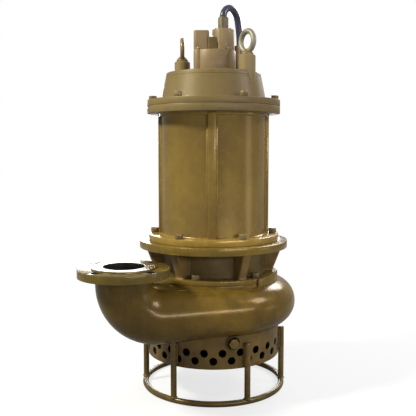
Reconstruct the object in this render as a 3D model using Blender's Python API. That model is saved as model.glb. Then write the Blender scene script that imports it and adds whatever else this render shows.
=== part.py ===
"""Submersible slurry pump, standing on its round base ring, discharge flange up.

Metres, +Z up. The outlet leaves the casing towards -X and turns up. The origin is at the
bottom centre of the pump's own box, and the pump's axis stands beside it, on the empty
pump_axis. Angles are in degrees, counter-clockwise from +X as seen from above.
"""

import math

import bmesh
import bpy
from mathutils import Matrix, Vector

for old in list(bpy.data.objects):
    bpy.data.objects.remove(old)

# Fits and facets
seat_gap = 0.0003
overrun = 0.004
merge_distance = 0.000002
big_sides = 32
small_sides = 16
hole_sides = 8
bolt_sides = 6
smooth_below_deg = 35

# Base ring and legs, of round bar
stand_bar = 0.0145
leg_bar = 0.0147
leg_top_z = 0.152
bar_sides = 8
leg_sides = 12
rib_count = 6
first_rib_deg = -21

# Strainer drum, of rolled sheet
strainer_radius = 0.171
strainer_wall = 0.003
strainer_bottom_z = 0.089
strainer_height = 0.0765
strainer_hole_radius = 0.0095
strainer_holes_in_row = 24
strainer_first_hole_deg = 4
strainer_row_heights = (0.039, 0.020)
strainer_sides = 48
plate_sides = 24
base_plate_thickness = 0.005
inlet_radius = 0.060

# Strainer bolts, which hold the drum to the rim of the suction cover
strainer_bolt_count = 4
strainer_bolt_first_deg = -92.5
strainer_bolt_drop = 0.0125
strainer_bolt_across = 0.024
strainer_bolt_head = 0.010
strainer_washer_radius = 0.0145
strainer_washer_thickness = 0.0025
strainer_bolt_radius = 0.006
strainer_bolt_length = 0.030

# Suction cover, with the eye that leads up to the impeller
cover_rim_thickness = 0.024
eye_radius = 0.052
eye_mouth_radius = 0.082
wear_face_height = 0.030
mouth_steps = 3

# Spiral casing
chamber_radius = 0.106
belt_depth = 0.016
belt_height = 0.066
drum_wall = 0.029
spiral_rise = 0.060
spiral_start_deg = 225
spiral_turn_deg = 315
spiral_steps = 15
spiral_growth_power = 3
spiral_growth = 0.050
spiral_first_radius = 0.040
spiral_last_radius = 0.0575
casing_wall = 0.0125
tube_sides = 16
passage_sides = 12
neck_rise = 0.0505
neck_chamfer = 0.010
neck_flange_width = 0.030
neck_flange_thickness = 0.012
neck_lug_deg = -38
neck_lug_reach = 0.014
neck_lug_width = 0.052

# Discharge elbow and flange
outlet_reach = 0.266
elbow_radius = 0.082
elbow_steps = 5
outlet_pipe_radius = 0.065
outlet_bore_radius = 0.0475
outlet_top_z = 0.350
outlet_flange_radius = 0.105
outlet_flange_thickness = 0.0185
raised_face_radius = 0.074
raised_face_height = 0.003
outlet_bolt_circle = 0.085
outlet_hole_radius = 0.009
outlet_hole_count = 4
outlet_first_hole_deg = 33
outlet_hole_sides = 8
gusset_width = 0.020
gusset_depth = 0.024
gusset_thickness = 0.010

# Bracket between the casing and the motor
foot_flange_thickness = 0.012
bracket_height = 0.0945
core_depth = 0.037
bracket_head_radius = 0.191
bracket_head_thickness = 0.0184
rib_foot_edge = 0.012
rib_head_radius = 0.178
rib_thickness = 0.022
oil_room_wall = 0.008
oil_room_height = 0.050
bracket_web_bore = 0.036

# Seal cover and shaft seal
seal_cover_drop = 0.016
seal_cover_lip = 0.008
seal_bore_radius = 0.027
seal_ring_height = 0.012
seal_face_radius = 0.025

# Motor frame
motor_foot_radius = 0.168
motor_foot_thickness = 0.0153
motor_radius = 0.1335
motor_height = 0.3391
motor_bore_radius = 0.122
motor_head_radius = 0.170
motor_head_thickness = 0.0182
motor_rib_count = 4
motor_rib_first_deg = -20
motor_rib_radius = 0.142
motor_rib_width = 0.020
shield_ledge = 0.006
shield_thickness = 0.0175

# Stator and windings
stator_bore_radius = 0.075
stator_rise = 0.072
stator_height = 0.185
winding_height = 0.048
winding_outer_radius = 0.112
winding_inner_radius = 0.082

# Top cover
top_flange_thickness = 0.0154
dome_foot_radius = 0.133
dome_top_radius = 0.121
dome_height = 0.0683
dome_roof = 0.017
dome_cavity_radius = 0.110
dome_round = 0.008
dome_round_steps = 3
lug_reach = 0.1055
lug_radius = 0.0195
lug_rise = 0.038
lug_foot_drop = 0.030

# Bolts of the three bolted joints
bolt_across = 0.018
bolt_head = 0.0125
bolt_radius = 0.0058
bolt_hole_radius = 0.0066
casing_bolt_edge = 0.015
casing_bolt_first_deg = -5
frame_bolt_edge = 0.015
frame_bolt_depth = 0.012
frame_bolt_end = 0.008
top_bolt_edge = 0.014

# Junction head on top of the cover, turned with the cable entries
head_turn_deg = -18
head_shift = 0.003
junction_radius = 0.054
junction_height = 0.055
web_width = 0.0068
web_depth = 0.030
web_rise = 0.035
block_reach = 0.0307
block_width = 0.0392
block_height = 0.0512
block_corner = 0.008
gland_reach = 0.0248
gland_across = 0.0526
gland_height = 0.0633
gland_lip = 0.004
gland_lip_height = 0.007
gland_sides = 8
gland_nut_radius = 0.0132
gland_nut_height = 0.0225
gland_nut_sides = 12

# Lifting eyebolts
eyebolt_line_deg = -57
eyebolt_turns_deg = (27, -18)
eye_ring_radius = 0.0245
eye_bar_radius = 0.007
eye_centre_rise = 0.0325
eye_sides = 16
eye_collar_foot_radius = 0.014
eye_collar_top_radius = 0.010
eye_collar_height = 0.011
eye_stud_radius = 0.0074
eye_stud_hole_radius = 0.0085
eye_stud_length = 0.022

# Shaft, from the agitator nut up to the upper bearing
shaft_end_radius = 0.0125
shaft_seal_radius = 0.0175
shaft_bearing_radius = 0.0225
shaft_core_radius = 0.0275
shaft_top_radius = 0.015
shaft_bottom_z = 0.0935
nut_across = 0.036
nut_height = 0.010
nut_sides = 6

# Ball bearings
lower_bearing_radius = 0.050
lower_bearing_width = 0.025
lower_race_radius = 0.0295
upper_bearing_radius = 0.036
upper_bearing_width = 0.019
upper_race_radius = 0.0205
race_clearance = 0.0009

# Rotor core
rotor_clearance = 0.0020
rotor_end_ring = 0.008
rotor_end_ring_radius = 0.068

# Impeller and agitator
cutwater_gap = 0.012
impeller_clearance = 0.003
impeller_shroud = 0.008
impeller_hub_radius = 0.026
impeller_vane_count = 4
impeller_vane_thickness = 0.008
impeller_vane_sweep_deg = 75
vane_steps = 5
agitator_hub_radius = 0.019
agitator_radius = 0.046
agitator_blade_count = 3
agitator_blade_height = 0.028
agitator_blade_thickness = 0.007

# Power cable: 10 m, the unseen length wound into a coil behind the pump
cable_diameter = 0.0175
coil_radius = 0.153
coil_turns_across = 3
coil_turns_high = 3
coil_distance = 0.42
coil_chamfer_share = 0.12
coil_sides = 24

# Sizes that follow from the ones above
stand_radius = strainer_radius + seat_gap + leg_bar
belt_radius = chamber_radius + belt_depth
drum_radius = chamber_radius + drum_wall
neck_flange_radius = drum_radius + neck_flange_width
spiral_first_reach = chamber_radius
spiral_last_reach = spiral_first_reach + spiral_growth
impeller_radius = chamber_radius - cutwater_gap
oil_room_radius = chamber_radius - oil_room_wall
core_radius = neck_flange_radius - core_depth
rib_foot_radius = neck_flange_radius - rib_foot_edge
casing_bolt_circle = neck_flange_radius - casing_bolt_edge
frame_bolt_circle = motor_foot_radius - frame_bolt_edge
top_bolt_circle = motor_head_radius - top_bolt_edge

# Heights
strainer_top_z = strainer_bottom_z + strainer_height
cover_top_z = strainer_top_z + seat_gap
casing_bottom_z = cover_top_z + seat_gap
spiral_z = casing_bottom_z + spiral_rise
neck_bottom_z = spiral_z + neck_rise
neck_top_z = neck_bottom_z + neck_flange_thickness
bracket_z = neck_top_z + seat_gap
bracket_top_z = bracket_z + bracket_height
motor_z = bracket_top_z + seat_gap
motor_top_z = motor_z + motor_height
top_cover_z = motor_top_z + seat_gap
top_flange_z = top_cover_z + top_flange_thickness
dome_top_z = top_flange_z + dome_height
lug_top_z = dome_top_z + lug_rise
junction_z = dome_top_z + seat_gap
junction_top_z = junction_z + junction_height
entry_z = junction_top_z + seat_gap


def spiral_size(share):
    """Angle, centre-line reach and tube radius of the spiral at a share of its turn."""
    angle = math.radians(spiral_start_deg - spiral_turn_deg * share)
    growth = 1 - (1 - share) ** spiral_growth_power
    reach = spiral_first_reach + (spiral_last_reach - spiral_first_reach) * growth
    radius = spiral_first_radius + (spiral_last_radius - spiral_first_radius) * growth
    return angle, reach, radius


# The pump's own box, without the cable, is centred on the origin
spiral_sizes = [spiral_size(step / spiral_steps) for step in range(spiral_steps + 1)]
reach_left = outlet_reach + outlet_flange_radius
reach_right = max(math.cos(angle) * (reach + radius) for angle, reach, radius in spiral_sizes)
reach_front = spiral_last_reach + outlet_flange_radius
spiral_back = max(math.sin(angle) * (reach + radius) for angle, reach, radius in spiral_sizes)
reach_back = max(bracket_head_radius, spiral_back)
axis_x = (reach_left - reach_right) / 2
axis_y = (reach_front - reach_back) / 2


def empty(name, at, parent=None, turn_deg=0):
    """An empty that carries pieces, on an axis of the pump."""
    axis = bpy.data.objects.new(name, None)
    bpy.context.scene.collection.objects.link(axis)
    axis.parent = parent
    axis.location = at
    axis.rotation_euler.z = math.radians(turn_deg)
    return axis


pump_axis = empty("pump_axis", (axis_x, axis_y, 0))
rotor_axis = empty("rotor_axis", (0, 0, spiral_z), pump_axis)
head_axis = empty("head_axis", (0, 0, 0), pump_axis, head_turn_deg)


def finish(name, colour, roughness, metallic=0.0):
    """A plain Principled finish."""
    made = bpy.data.materials.new(name)
    made.use_nodes = True
    shader = made.node_tree.nodes["Principled BSDF"]
    shader.inputs["Base Color"].default_value = (*colour, 1)
    shader.inputs["Roughness"].default_value = roughness
    shader.inputs["Metallic"].default_value = metallic
    return made


ochre_paint = finish("ochre_paint", (0.42, 0.31, 0.11), 0.32)
zinc = finish("zinc", (0.55, 0.54, 0.42), 0.42, 1.0)
bolt_steel = finish("bolt_steel", (0.45, 0.36, 0.18), 0.40, 0.6)
shaft_steel = finish("shaft_steel", (0.62, 0.62, 0.63), 0.25, 1.0)
chrome_iron = finish("chrome_iron", (0.32, 0.32, 0.33), 0.55, 0.9)
core_iron = finish("core_iron", (0.25, 0.25, 0.27), 0.50, 0.9)
copper = finish("copper", (0.60, 0.27, 0.12), 0.45, 0.8)
seal_carbide = finish("seal_carbide", (0.08, 0.08, 0.09), 0.20)
cable_rubber = finish("cable_rubber", (0.02, 0.02, 0.03), 0.45)


def piece(name, mesh, material, parent=pump_axis, at=(0, 0, 0), turn_deg=0):
    """One object of the model, from a bmesh built round its own axis."""
    bmesh.ops.recalc_face_normals(mesh, faces=mesh.faces)
    data = bpy.data.meshes.new(name)
    mesh.to_mesh(data)
    mesh.free()
    data.materials.append(material)
    data.shade_smooth()
    data.set_sharp_from_angle(angle=math.radians(smooth_below_deg))
    made = bpy.data.objects.new(name, data)
    bpy.context.scene.collection.objects.link(made)
    made.parent = parent
    made.location = at
    made.rotation_euler.z = math.radians(turn_deg)
    return made


def change(target, mesh, operation, at=(0, 0, 0), crosses_itself=False):
    """A guide, kept as wire, that is cut from the target or joined to it."""
    name = f"{target.name}_guide_{len(target.modifiers)}"
    guide = piece(name, mesh, target.active_material, target.parent, at)
    guide.rotation_euler = target.rotation_euler
    guide.hide_render = True
    guide.display_type = "WIRE"
    step = target.modifiers.new(operation.lower(), "BOOLEAN")
    step.operation = operation
    step.use_self = crosses_itself
    step.object = guide
    return guide


def turned(outline, sides=big_sides):
    """A closed outline of (radius, height) points, spun once round the axis."""
    mesh = bmesh.new()
    points = [mesh.verts.new((radius, 0, height)) for radius, height in outline]
    edges = [
        mesh.edges.new((first, second))
        for first, second in zip(points, points[1:] + points[:1])
        if first.co.x > 0 or second.co.x > 0
    ]
    full = {"axis": (0, 0, 1), "cent": (0, 0, 0), "angle": math.tau, "steps": sides}
    bmesh.ops.spin(mesh, geom=points + edges, use_merge=True, **full)
    bmesh.ops.remove_doubles(mesh, verts=mesh.verts, dist=merge_distance)
    return mesh


def disc(radius, low, high, sides=big_sides):
    """The outline of a plain disc or plug."""
    return turned([(0, low), (radius, low), (radius, high), (0, high)], sides)


def ring(inner, outer, low, high, sides=big_sides):
    """A plain ring."""
    return turned([(inner, low), (outer, low), (outer, high), (inner, high)], sides)


def prism(outline, low, high):
    """An outline of (x, y) points, carried from one height to another."""
    mesh = bmesh.new()
    face = mesh.faces.new([mesh.verts.new((x, y, low)) for x, y in outline])
    grown = bmesh.ops.extrude_face_region(mesh, geom=[face])
    top = [part for part in grown["geom"] if isinstance(part, bmesh.types.BMVert)]
    bmesh.ops.translate(mesh, vec=(0, 0, high - low), verts=top)
    return mesh


def plate(outline, thickness):
    """An upright plate: an outline of (radius, height) points, with its thickness across."""
    mesh = prism(outline, -thickness / 2, thickness / 2)
    bmesh.ops.rotate(mesh, cent=(0, 0, 0), matrix=Matrix.Rotation(math.pi / 2, 3, "X"), verts=mesh.verts)
    return mesh


def moved(mesh, matrix):
    """The same mesh in another place."""
    bmesh.ops.transform(mesh, matrix=matrix, verts=mesh.verts)
    return mesh


def repeated(mesh, places):
    """One mesh that holds a copy at each place."""
    first = mesh.verts[:] + mesh.edges[:] + mesh.faces[:]
    for place in places[1:]:
        copy = bmesh.ops.duplicate(mesh, geom=first)
        points = [part for part in copy["geom"] if isinstance(part, bmesh.types.BMVert)]
        bmesh.ops.transform(mesh, matrix=place, verts=points)
    start = [part for part in first if isinstance(part, bmesh.types.BMVert)]
    bmesh.ops.transform(mesh, matrix=places[0], verts=start)
    return mesh


def loft(frames, sides):
    """A closed tube through unit circles, each placed by its own matrix."""
    mesh = bmesh.new()
    bmesh.ops.create_circle(mesh, cap_ends=True, radius=1, segments=sides, matrix=frames[0])
    mesh.faces.ensure_lookup_table()
    start = end = mesh.faces[0]
    for before, after in zip(frames, frames[1:]):
        grown = bmesh.ops.extrude_face_region(mesh, geom=[end])["geom"]
        points = [part for part in grown if isinstance(part, bmesh.types.BMVert)]
        if end is not start:
            bmesh.ops.delete(mesh, geom=[end], context="FACES_ONLY")
        end = next(part for part in grown if isinstance(part, bmesh.types.BMFace))
        bmesh.ops.transform(mesh, matrix=after @ before.inverted(), verts=points)
    return mesh


def round_places(count, first_deg, radius=0.0, height=0.0):
    """Places spread evenly round the axis, each turned to face outwards."""
    steps = [math.radians(first_deg) + math.tau * number / count for number in range(count)]
    out = Matrix.Translation((radius, 0, height))
    return [Matrix.Rotation(angle, 4, "Z") @ out for angle in steps]


def bolt_mesh(across, head, radius, length):
    """A hexagon-head bolt with its seat at height zero and its shank below."""
    corner = across / 2 / math.cos(math.pi / bolt_sides)
    outline = [(0, -length), (radius, -length), (radius, 0), (corner, 0), (corner, head), (0, head)]
    return turned(outline, bolt_sides)


def bolt_row(name, seat_z, circle, first_deg, grip):
    """The bolts of one joint, each an object of its own."""
    places = round_places(rib_count, first_deg, circle, seat_z + seat_gap)
    for number, place in enumerate(places, 1):
        mesh = bolt_mesh(bolt_across, bolt_head, bolt_radius, grip)
        bolt = piece(f"{name}_{number}", mesh, bolt_steel)
        bolt.matrix_local = place


def bolt_holes(circle, first_deg, low, high):
    """The cutter for one row of bolt holes."""
    hole = disc(bolt_hole_radius, low - overrun, high + overrun, bolt_sides)
    return repeated(hole, round_places(rib_count, first_deg, circle))


# Base ring, of bar with a flat below to stand on
bar_apothem = stand_bar / 2
bar_corner = bar_apothem / math.cos(math.pi / bar_sides)
ring_centre = stand_radius - bar_apothem
bar_outline = [
    (
        ring_centre + bar_corner * math.cos(math.tau * (number + 0.5) / bar_sides),
        bar_apothem + bar_corner * math.sin(math.tau * (number + 0.5) / bar_sides),
    )
    for number in range(bar_sides)
]
piece("stand_ring", turned(bar_outline), ochre_paint)

# Legs, welded on the ring and up the outside of the strainer
leg_radius = leg_bar / 2
leg_reach = strainer_radius + seat_gap + leg_radius
for number, place in enumerate(round_places(rib_count, first_rib_deg, leg_reach), 1):
    bar = disc(leg_radius, stand_bar + seat_gap, leg_top_z, leg_sides)
    leg = piece(f"stand_leg_{number}", bar, ochre_paint)
    leg.matrix_local = place

# Strainer drum with two staggered rows of round holes
strainer_inner = strainer_radius - strainer_wall
half_facet_deg = 180 / strainer_sides
drum = piece(
    "strainer_drum",
    ring(strainer_inner, strainer_radius, strainer_bottom_z, strainer_top_z, strainer_sides),
    ochre_paint,
    turn_deg=strainer_first_hole_deg - half_facet_deg,
)
outwards = Matrix.Rotation(math.pi / 2, 4, "Y")
hole_low = strainer_inner - overrun
hole_high = strainer_radius + overrun
for row, height in enumerate(strainer_row_heights):
    hole = moved(disc(strainer_hole_radius, hole_low, hole_high, hole_sides), outwards)
    first_deg = half_facet_deg + row * 180 / strainer_holes_in_row
    places = round_places(strainer_holes_in_row, first_deg, 0, strainer_bottom_z + height)
    change(drum, repeated(hole, places), "DIFFERENCE")
strainer_bolt_z = strainer_top_z - strainer_bolt_drop
strainer_way_radius = strainer_bolt_radius + bolt_hole_radius - bolt_radius
bolt_way = moved(disc(strainer_way_radius, hole_low, hole_high, hole_sides), outwards)
own_turn = strainer_bolt_first_deg - strainer_first_hole_deg + half_facet_deg
bolt_places = round_places(strainer_bolt_count, own_turn, 0, strainer_bolt_z)
change(drum, repeated(bolt_way, bolt_places), "DIFFERENCE")

# Strainer base plate, with the inlet under the agitator
plate_low = strainer_bottom_z + seat_gap
plate_radius = strainer_inner - seat_gap
piece(
    "strainer_base_plate",
    ring(inlet_radius, plate_radius, plate_low, plate_low + base_plate_thickness, plate_sides),
    ochre_paint,
    turn_deg=strainer_first_hole_deg - half_facet_deg,
)

# Suction cover: rim, wear face and flared eye in one casting
cover_low = cover_top_z - cover_rim_thickness
wear_face_z = cover_top_z + wear_face_height
wear_radius = chamber_radius - seat_gap
mouth_depth = wear_face_z - cover_low
mouth_points = [
    (
        eye_mouth_radius - (eye_mouth_radius - eye_radius) * math.sin(bend),
        cover_low + mouth_depth / 2 * (1 - math.cos(bend)),
    )
    for bend in [math.pi / 2 * step / mouth_steps for step in range(mouth_steps + 1)]
]
cover_radius = strainer_inner * math.cos(math.pi / strainer_sides) - seat_gap
rim_outline = [
    (cover_radius, cover_low),
    (cover_radius, cover_top_z),
    (wear_radius, cover_top_z),
    (wear_radius, wear_face_z),
    (eye_radius, wear_face_z),
]
cover = piece("suction_cover", turned(mouth_points[:1] + rim_outline + mouth_points[:0:-1]), chrome_iron)
strainer_bolt_seat = strainer_radius + seat_gap + strainer_washer_thickness
cover_way_low = strainer_bolt_seat - strainer_bolt_length - overrun
cover_way = moved(disc(strainer_way_radius, cover_way_low, plate_radius + overrun, hole_sides), outwards)
cover_places = round_places(strainer_bolt_count, strainer_bolt_first_deg, 0, strainer_bolt_z)
change(cover, repeated(cover_way, cover_places), "DIFFERENCE")

# Strainer bolts, set radially with a round washer
for number, place in enumerate(cover_places, 1):
    mesh = bolt_mesh(strainer_bolt_across, strainer_bolt_head, strainer_bolt_radius, strainer_bolt_length)
    bolt = piece(f"strainer_bolt_{number}", mesh, bolt_steel)
    washer = disc(strainer_washer_radius, -strainer_washer_thickness, 0, leg_sides)
    guide = change(bolt, washer, "UNION")
    bolt_place = place @ Matrix.Translation((strainer_bolt_seat, 0, 0)) @ outwards
    bolt.matrix_local = bolt_place
    guide.matrix_local = bolt_place


def spiral_frames(wall=0.0, end_z=outlet_top_z, end_radius=outlet_pipe_radius):
    """The round sections of the spiral, its straight run, the elbow and the outlet pipe."""
    frames = []

    def section(centre, out, up, ahead, radius):
        axes = Matrix((out, up, ahead)).transposed().to_4x4()
        frames.append(Matrix.Translation(centre) @ axes @ Matrix.Diagonal((radius, radius, radius, 1)))

    for angle, reach, radius in spiral_sizes:
        out = Vector((math.cos(angle), math.sin(angle), 0))
        ahead = Vector((math.sin(angle), -math.cos(angle), 0))
        section(out * reach + Vector((0, 0, spiral_z)), out, Vector((0, 0, 1)), ahead, radius - wall)
    side = Vector((0, -1, 0))
    start_radius = spiral_last_radius - wall
    run = outlet_reach - elbow_radius
    total = run + elbow_radius * math.pi / 2
    for share in (0.5, 1):
        centre = Vector((-run * share, -spiral_last_reach, spiral_z))
        radius = start_radius + (end_radius - start_radius) * run * share / total
        section(centre, side, Vector((0, 0, 1)), Vector((-1, 0, 0)), radius)
    for step in range(1, elbow_steps + 1):
        bend = math.pi / 2 * step / elbow_steps
        x = -run - elbow_radius * math.sin(bend)
        centre = Vector((x, -spiral_last_reach, spiral_z + elbow_radius * (1 - math.cos(bend))))
        radius = start_radius + (end_radius - start_radius) * (run + elbow_radius * bend) / total
        up = Vector((math.sin(bend), 0, math.cos(bend)))
        section(centre, side, up, Vector((-math.cos(bend), 0, math.sin(bend))), radius)
    top = Vector((-outlet_reach, -spiral_last_reach, end_z))
    section(top, side, Vector((1, 0, 0)), Vector((0, 0, 1)), end_radius)
    return frames


# Spiral casing: the tube grows round the pump, leaves it on a tangent and turns up
outlet_place = Matrix.Translation((-outlet_reach, -spiral_last_reach, 0))
outlet_face_z = outlet_top_z - raised_face_height
outlet_back_z = outlet_face_z - outlet_flange_thickness
outlet_middle_z = outlet_face_z - outlet_flange_thickness / 2
casing = piece("volute_casing", loft(spiral_frames(end_z=outlet_middle_z), tube_sides), ochre_paint)
drum_outline = [
    (0, casing_bottom_z),
    (drum_radius, casing_bottom_z),
    (drum_radius, neck_bottom_z - neck_chamfer),
    (drum_radius + neck_chamfer, neck_bottom_z),
    (neck_flange_radius, neck_bottom_z),
    (neck_flange_radius, neck_top_z),
    (0, neck_top_z),
]
change(casing, turned(drum_outline), "UNION", crosses_itself=True)
lug_far = neck_flange_radius + neck_lug_reach
lug_near = neck_flange_radius - neck_lug_reach
neck_lug = prism(
    [
        (lug_near, -neck_lug_width / 2),
        (lug_far, -neck_lug_width / 2 + neck_lug_reach),
        (lug_far, neck_lug_width / 2 - neck_lug_reach),
        (lug_near, neck_lug_width / 2),
    ],
    neck_bottom_z - neck_chamfer,
    neck_top_z,
)
lug_turn = Matrix.Rotation(math.radians(neck_lug_deg), 4, "Z")
change(casing, moved(neck_lug, lug_turn), "UNION")
flange_outline = [
    (0, outlet_back_z),
    (outlet_flange_radius, outlet_back_z),
    (outlet_flange_radius, outlet_face_z),
    (raised_face_radius, outlet_face_z),
    (raised_face_radius, outlet_top_z),
    (0, outlet_top_z),
]
change(casing, moved(turned(flange_outline), outlet_place), "UNION")
outlet_hole = disc(outlet_hole_radius, outlet_back_z - overrun, outlet_face_z + overrun, outlet_hole_sides)
flange_places = round_places(outlet_hole_count, outlet_first_hole_deg, outlet_bolt_circle)
hole_places = [outlet_place @ place for place in flange_places]
change(casing, repeated(outlet_hole, hole_places), "DIFFERENCE")
neck_holes = bolt_holes(casing_bolt_circle, casing_bolt_first_deg, neck_bottom_z, neck_top_z)
change(casing, neck_holes, "DIFFERENCE")
gusset_foot = outlet_pipe_radius - casing_wall / 2
gusset_outline = [
    (gusset_foot, outlet_back_z + overrun),
    (outlet_pipe_radius + gusset_width, outlet_back_z + overrun),
    (outlet_pipe_radius + gusset_width, outlet_back_z - overrun),
    (outlet_pipe_radius, outlet_back_z - gusset_depth),
    (gusset_foot, outlet_back_z - gusset_depth),
]
change(casing, moved(plate(gusset_outline, gusset_thickness), outlet_place), "UNION")
passage_frames = spiral_frames(casing_wall, outlet_top_z + overrun, outlet_bore_radius)
change(casing, loft(passage_frames, passage_sides), "DIFFERENCE")
chamber_outline = [
    (0, casing_bottom_z - overrun),
    (chamber_radius, casing_bottom_z - overrun),
    (chamber_radius, spiral_z - belt_height / 2),
    (belt_radius, spiral_z - belt_height / 2),
    (belt_radius, spiral_z + belt_height / 2),
    (chamber_radius, spiral_z + belt_height / 2),
    (chamber_radius, neck_top_z + overrun),
    (0, neck_top_z + overrun),
]
change(casing, turned(chamber_outline), "DIFFERENCE")

# Bracket: foot flange, oil room and bearing seat in a core, six ribs, head flange
foot_top_z = bracket_z + foot_flange_thickness
head_low_z = bracket_top_z - bracket_head_thickness
oil_top_z = bracket_z + oil_room_height
bearing_seat_z = bracket_top_z - lower_bearing_width - motor_foot_thickness / 2
lower_seat_radius = lower_bearing_radius + seat_gap
bracket_outline = [
    (oil_room_radius, bracket_z),
    (neck_flange_radius, bracket_z),
    (neck_flange_radius, foot_top_z),
    (core_radius, foot_top_z),
    (core_radius, head_low_z),
    (bracket_head_radius, head_low_z),
    (bracket_head_radius, bracket_top_z),
    (lower_seat_radius, bracket_top_z),
    (lower_seat_radius, bearing_seat_z),
    (bracket_web_bore, bearing_seat_z),
    (bracket_web_bore, oil_top_z),
    (oil_room_radius, oil_top_z),
]
bracket = piece("pump_bracket", turned(bracket_outline), ochre_paint)
rib_inner = core_radius - overrun
rib_outline = [
    (rib_inner, foot_top_z - overrun),
    (rib_foot_radius, foot_top_z - overrun),
    (rib_foot_radius, foot_top_z),
    (rib_head_radius, head_low_z),
    (rib_head_radius, head_low_z + overrun),
    (rib_inner, head_low_z + overrun),
]
rib_places = round_places(rib_count, first_rib_deg)
change(bracket, repeated(plate(rib_outline, rib_thickness), rib_places), "UNION")
foot_holes = bolt_holes(casing_bolt_circle, casing_bolt_first_deg, bracket_z, foot_top_z)
change(bracket, foot_holes, "DIFFERENCE")
head_hole_low = bracket_top_z - frame_bolt_depth
head_holes = bolt_holes(frame_bolt_circle, first_rib_deg, head_hole_low, bracket_top_z)
change(bracket, head_holes, "DIFFERENCE")
casing_grip = foot_top_z - neck_bottom_z
bolt_row("casing_bolt", foot_top_z, casing_bolt_circle, casing_bolt_first_deg, casing_grip)

# Seal cover, which closes the pump chamber under the oil room
seal_cover_low = bracket_z - seat_gap - seal_cover_drop
seal_cover_top = bracket_z - seat_gap
seal_outline = [
    (seal_bore_radius, seal_cover_low),
    (chamber_radius - seat_gap, seal_cover_low),
    (chamber_radius - seat_gap, seal_cover_top),
    (oil_room_radius - seat_gap, seal_cover_top),
    (oil_room_radius - seat_gap, seal_cover_top + seal_cover_lip),
    (seal_bore_radius, seal_cover_top + seal_cover_lip),
]
piece("seal_cover", turned(seal_outline, small_sides), chrome_iron)
seal_split_z = seal_cover_low + seal_ring_height
seal_hole_radius = shaft_seal_radius + race_clearance
piece(
    "seal_stationary_ring",
    ring(seal_hole_radius, seal_bore_radius - seat_gap, seal_cover_low, seal_split_z, small_sides),
    seal_carbide,
)

# Motor frame with four long ribs and a ledge for the upper bearing shield
motor_foot_z = motor_z + motor_foot_thickness
motor_head_z = motor_top_z - motor_head_thickness
shield_z = motor_top_z - shield_thickness
ledge_radius = motor_bore_radius + shield_ledge
frame_outline = [
    (motor_bore_radius, motor_z),
    (motor_foot_radius, motor_z),
    (motor_foot_radius, motor_foot_z),
    (motor_radius, motor_foot_z),
    (motor_radius, motor_head_z),
    (motor_head_radius, motor_head_z),
    (motor_head_radius, motor_top_z),
    (ledge_radius, motor_top_z),
    (ledge_radius, shield_z),
    (motor_bore_radius, shield_z),
]
frame = piece("motor_frame", turned(frame_outline), ochre_paint)
motor_rib_inner = motor_radius - overrun
motor_rib_outline = [
    (motor_rib_inner, motor_foot_z - overrun),
    (motor_rib_radius, motor_foot_z - overrun),
    (motor_rib_radius, motor_head_z + overrun),
    (motor_rib_inner, motor_head_z + overrun),
]
motor_rib_places = round_places(motor_rib_count, motor_rib_first_deg)
change(frame, repeated(plate(motor_rib_outline, motor_rib_width), motor_rib_places), "UNION")
change(frame, bolt_holes(frame_bolt_circle, first_rib_deg, motor_z, motor_foot_z), "DIFFERENCE")
change(frame, bolt_holes(top_bolt_circle, first_rib_deg, motor_head_z, motor_top_z), "DIFFERENCE")
frame_grip = motor_foot_thickness + frame_bolt_end
bolt_row("frame_bolt", motor_foot_z, frame_bolt_circle, first_rib_deg, frame_grip)

# Stator pack and its two winding heads
stator_z = motor_z + stator_rise
stator_top_z = stator_z + stator_height
stator_radius = motor_bore_radius - seat_gap
piece("stator_core", ring(stator_bore_radius, stator_radius, stator_z, stator_top_z, small_sides), core_iron)
winding_low_z = stator_z - seat_gap - winding_height
winding_high_z = stator_top_z + seat_gap
for name, low in (("winding_lower", winding_low_z), ("winding_upper", winding_high_z)):
    winding = ring(winding_inner_radius, winding_outer_radius, low, low + winding_height, small_sides)
    piece(name, winding, copper)

# Upper bearing shield
upper_seat_radius = upper_bearing_radius + seat_gap
shield_low_z = shield_z + seat_gap
shield_inner = shaft_top_radius + (upper_seat_radius - shaft_top_radius) / 2
shield_outline = [
    (upper_seat_radius + shield_ledge, shield_low_z - shield_ledge),
    (upper_seat_radius + shield_ledge, shield_low_z),
    (ledge_radius - seat_gap, shield_low_z),
    (ledge_radius - seat_gap, motor_top_z),
    (upper_seat_radius, motor_top_z),
    (upper_seat_radius, shield_low_z),
    (shield_inner, shield_low_z),
    (shield_inner, shield_low_z - shield_ledge),
]
piece("bearing_shield", turned(shield_outline, small_sides), core_iron)

# Top cover: flange, dome and two lifting lugs
cavity_top_z = dome_top_z - dome_roof
dome_rounds = [
    (
        dome_top_radius - dome_round * (1 - math.cos(bend)),
        dome_top_z - dome_round * (1 - math.sin(bend)),
    )
    for bend in [math.pi / 2 * step / dome_round_steps for step in range(dome_round_steps + 1)]
]
dome_outline = [
    (0, top_cover_z),
    (motor_head_radius, top_cover_z),
    (motor_head_radius, top_flange_z),
    (dome_foot_radius, top_flange_z),
    *dome_rounds,
    (0, dome_top_z),
]
dome = piece("top_cover", turned(dome_outline), ochre_paint)
lug_places = round_places(2, eyebolt_line_deg, lug_reach)
lug = disc(lug_radius, dome_top_z - lug_foot_drop, lug_top_z, small_sides)
change(dome, repeated(lug, lug_places), "UNION")
change(dome, disc(dome_cavity_radius, top_cover_z - overrun, cavity_top_z), "DIFFERENCE")
stud_hole_low = lug_top_z - eye_stud_length - overrun
stud_hole = disc(eye_stud_hole_radius, stud_hole_low, lug_top_z + overrun, hole_sides)
change(dome, repeated(stud_hole, lug_places), "DIFFERENCE")
change(dome, bolt_holes(top_bolt_circle, first_rib_deg, top_cover_z, top_flange_z), "DIFFERENCE")
cover_grip = top_flange_z - motor_head_z
bolt_row("cover_bolt", top_flange_z, top_bolt_circle, first_rib_deg, cover_grip)

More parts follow.
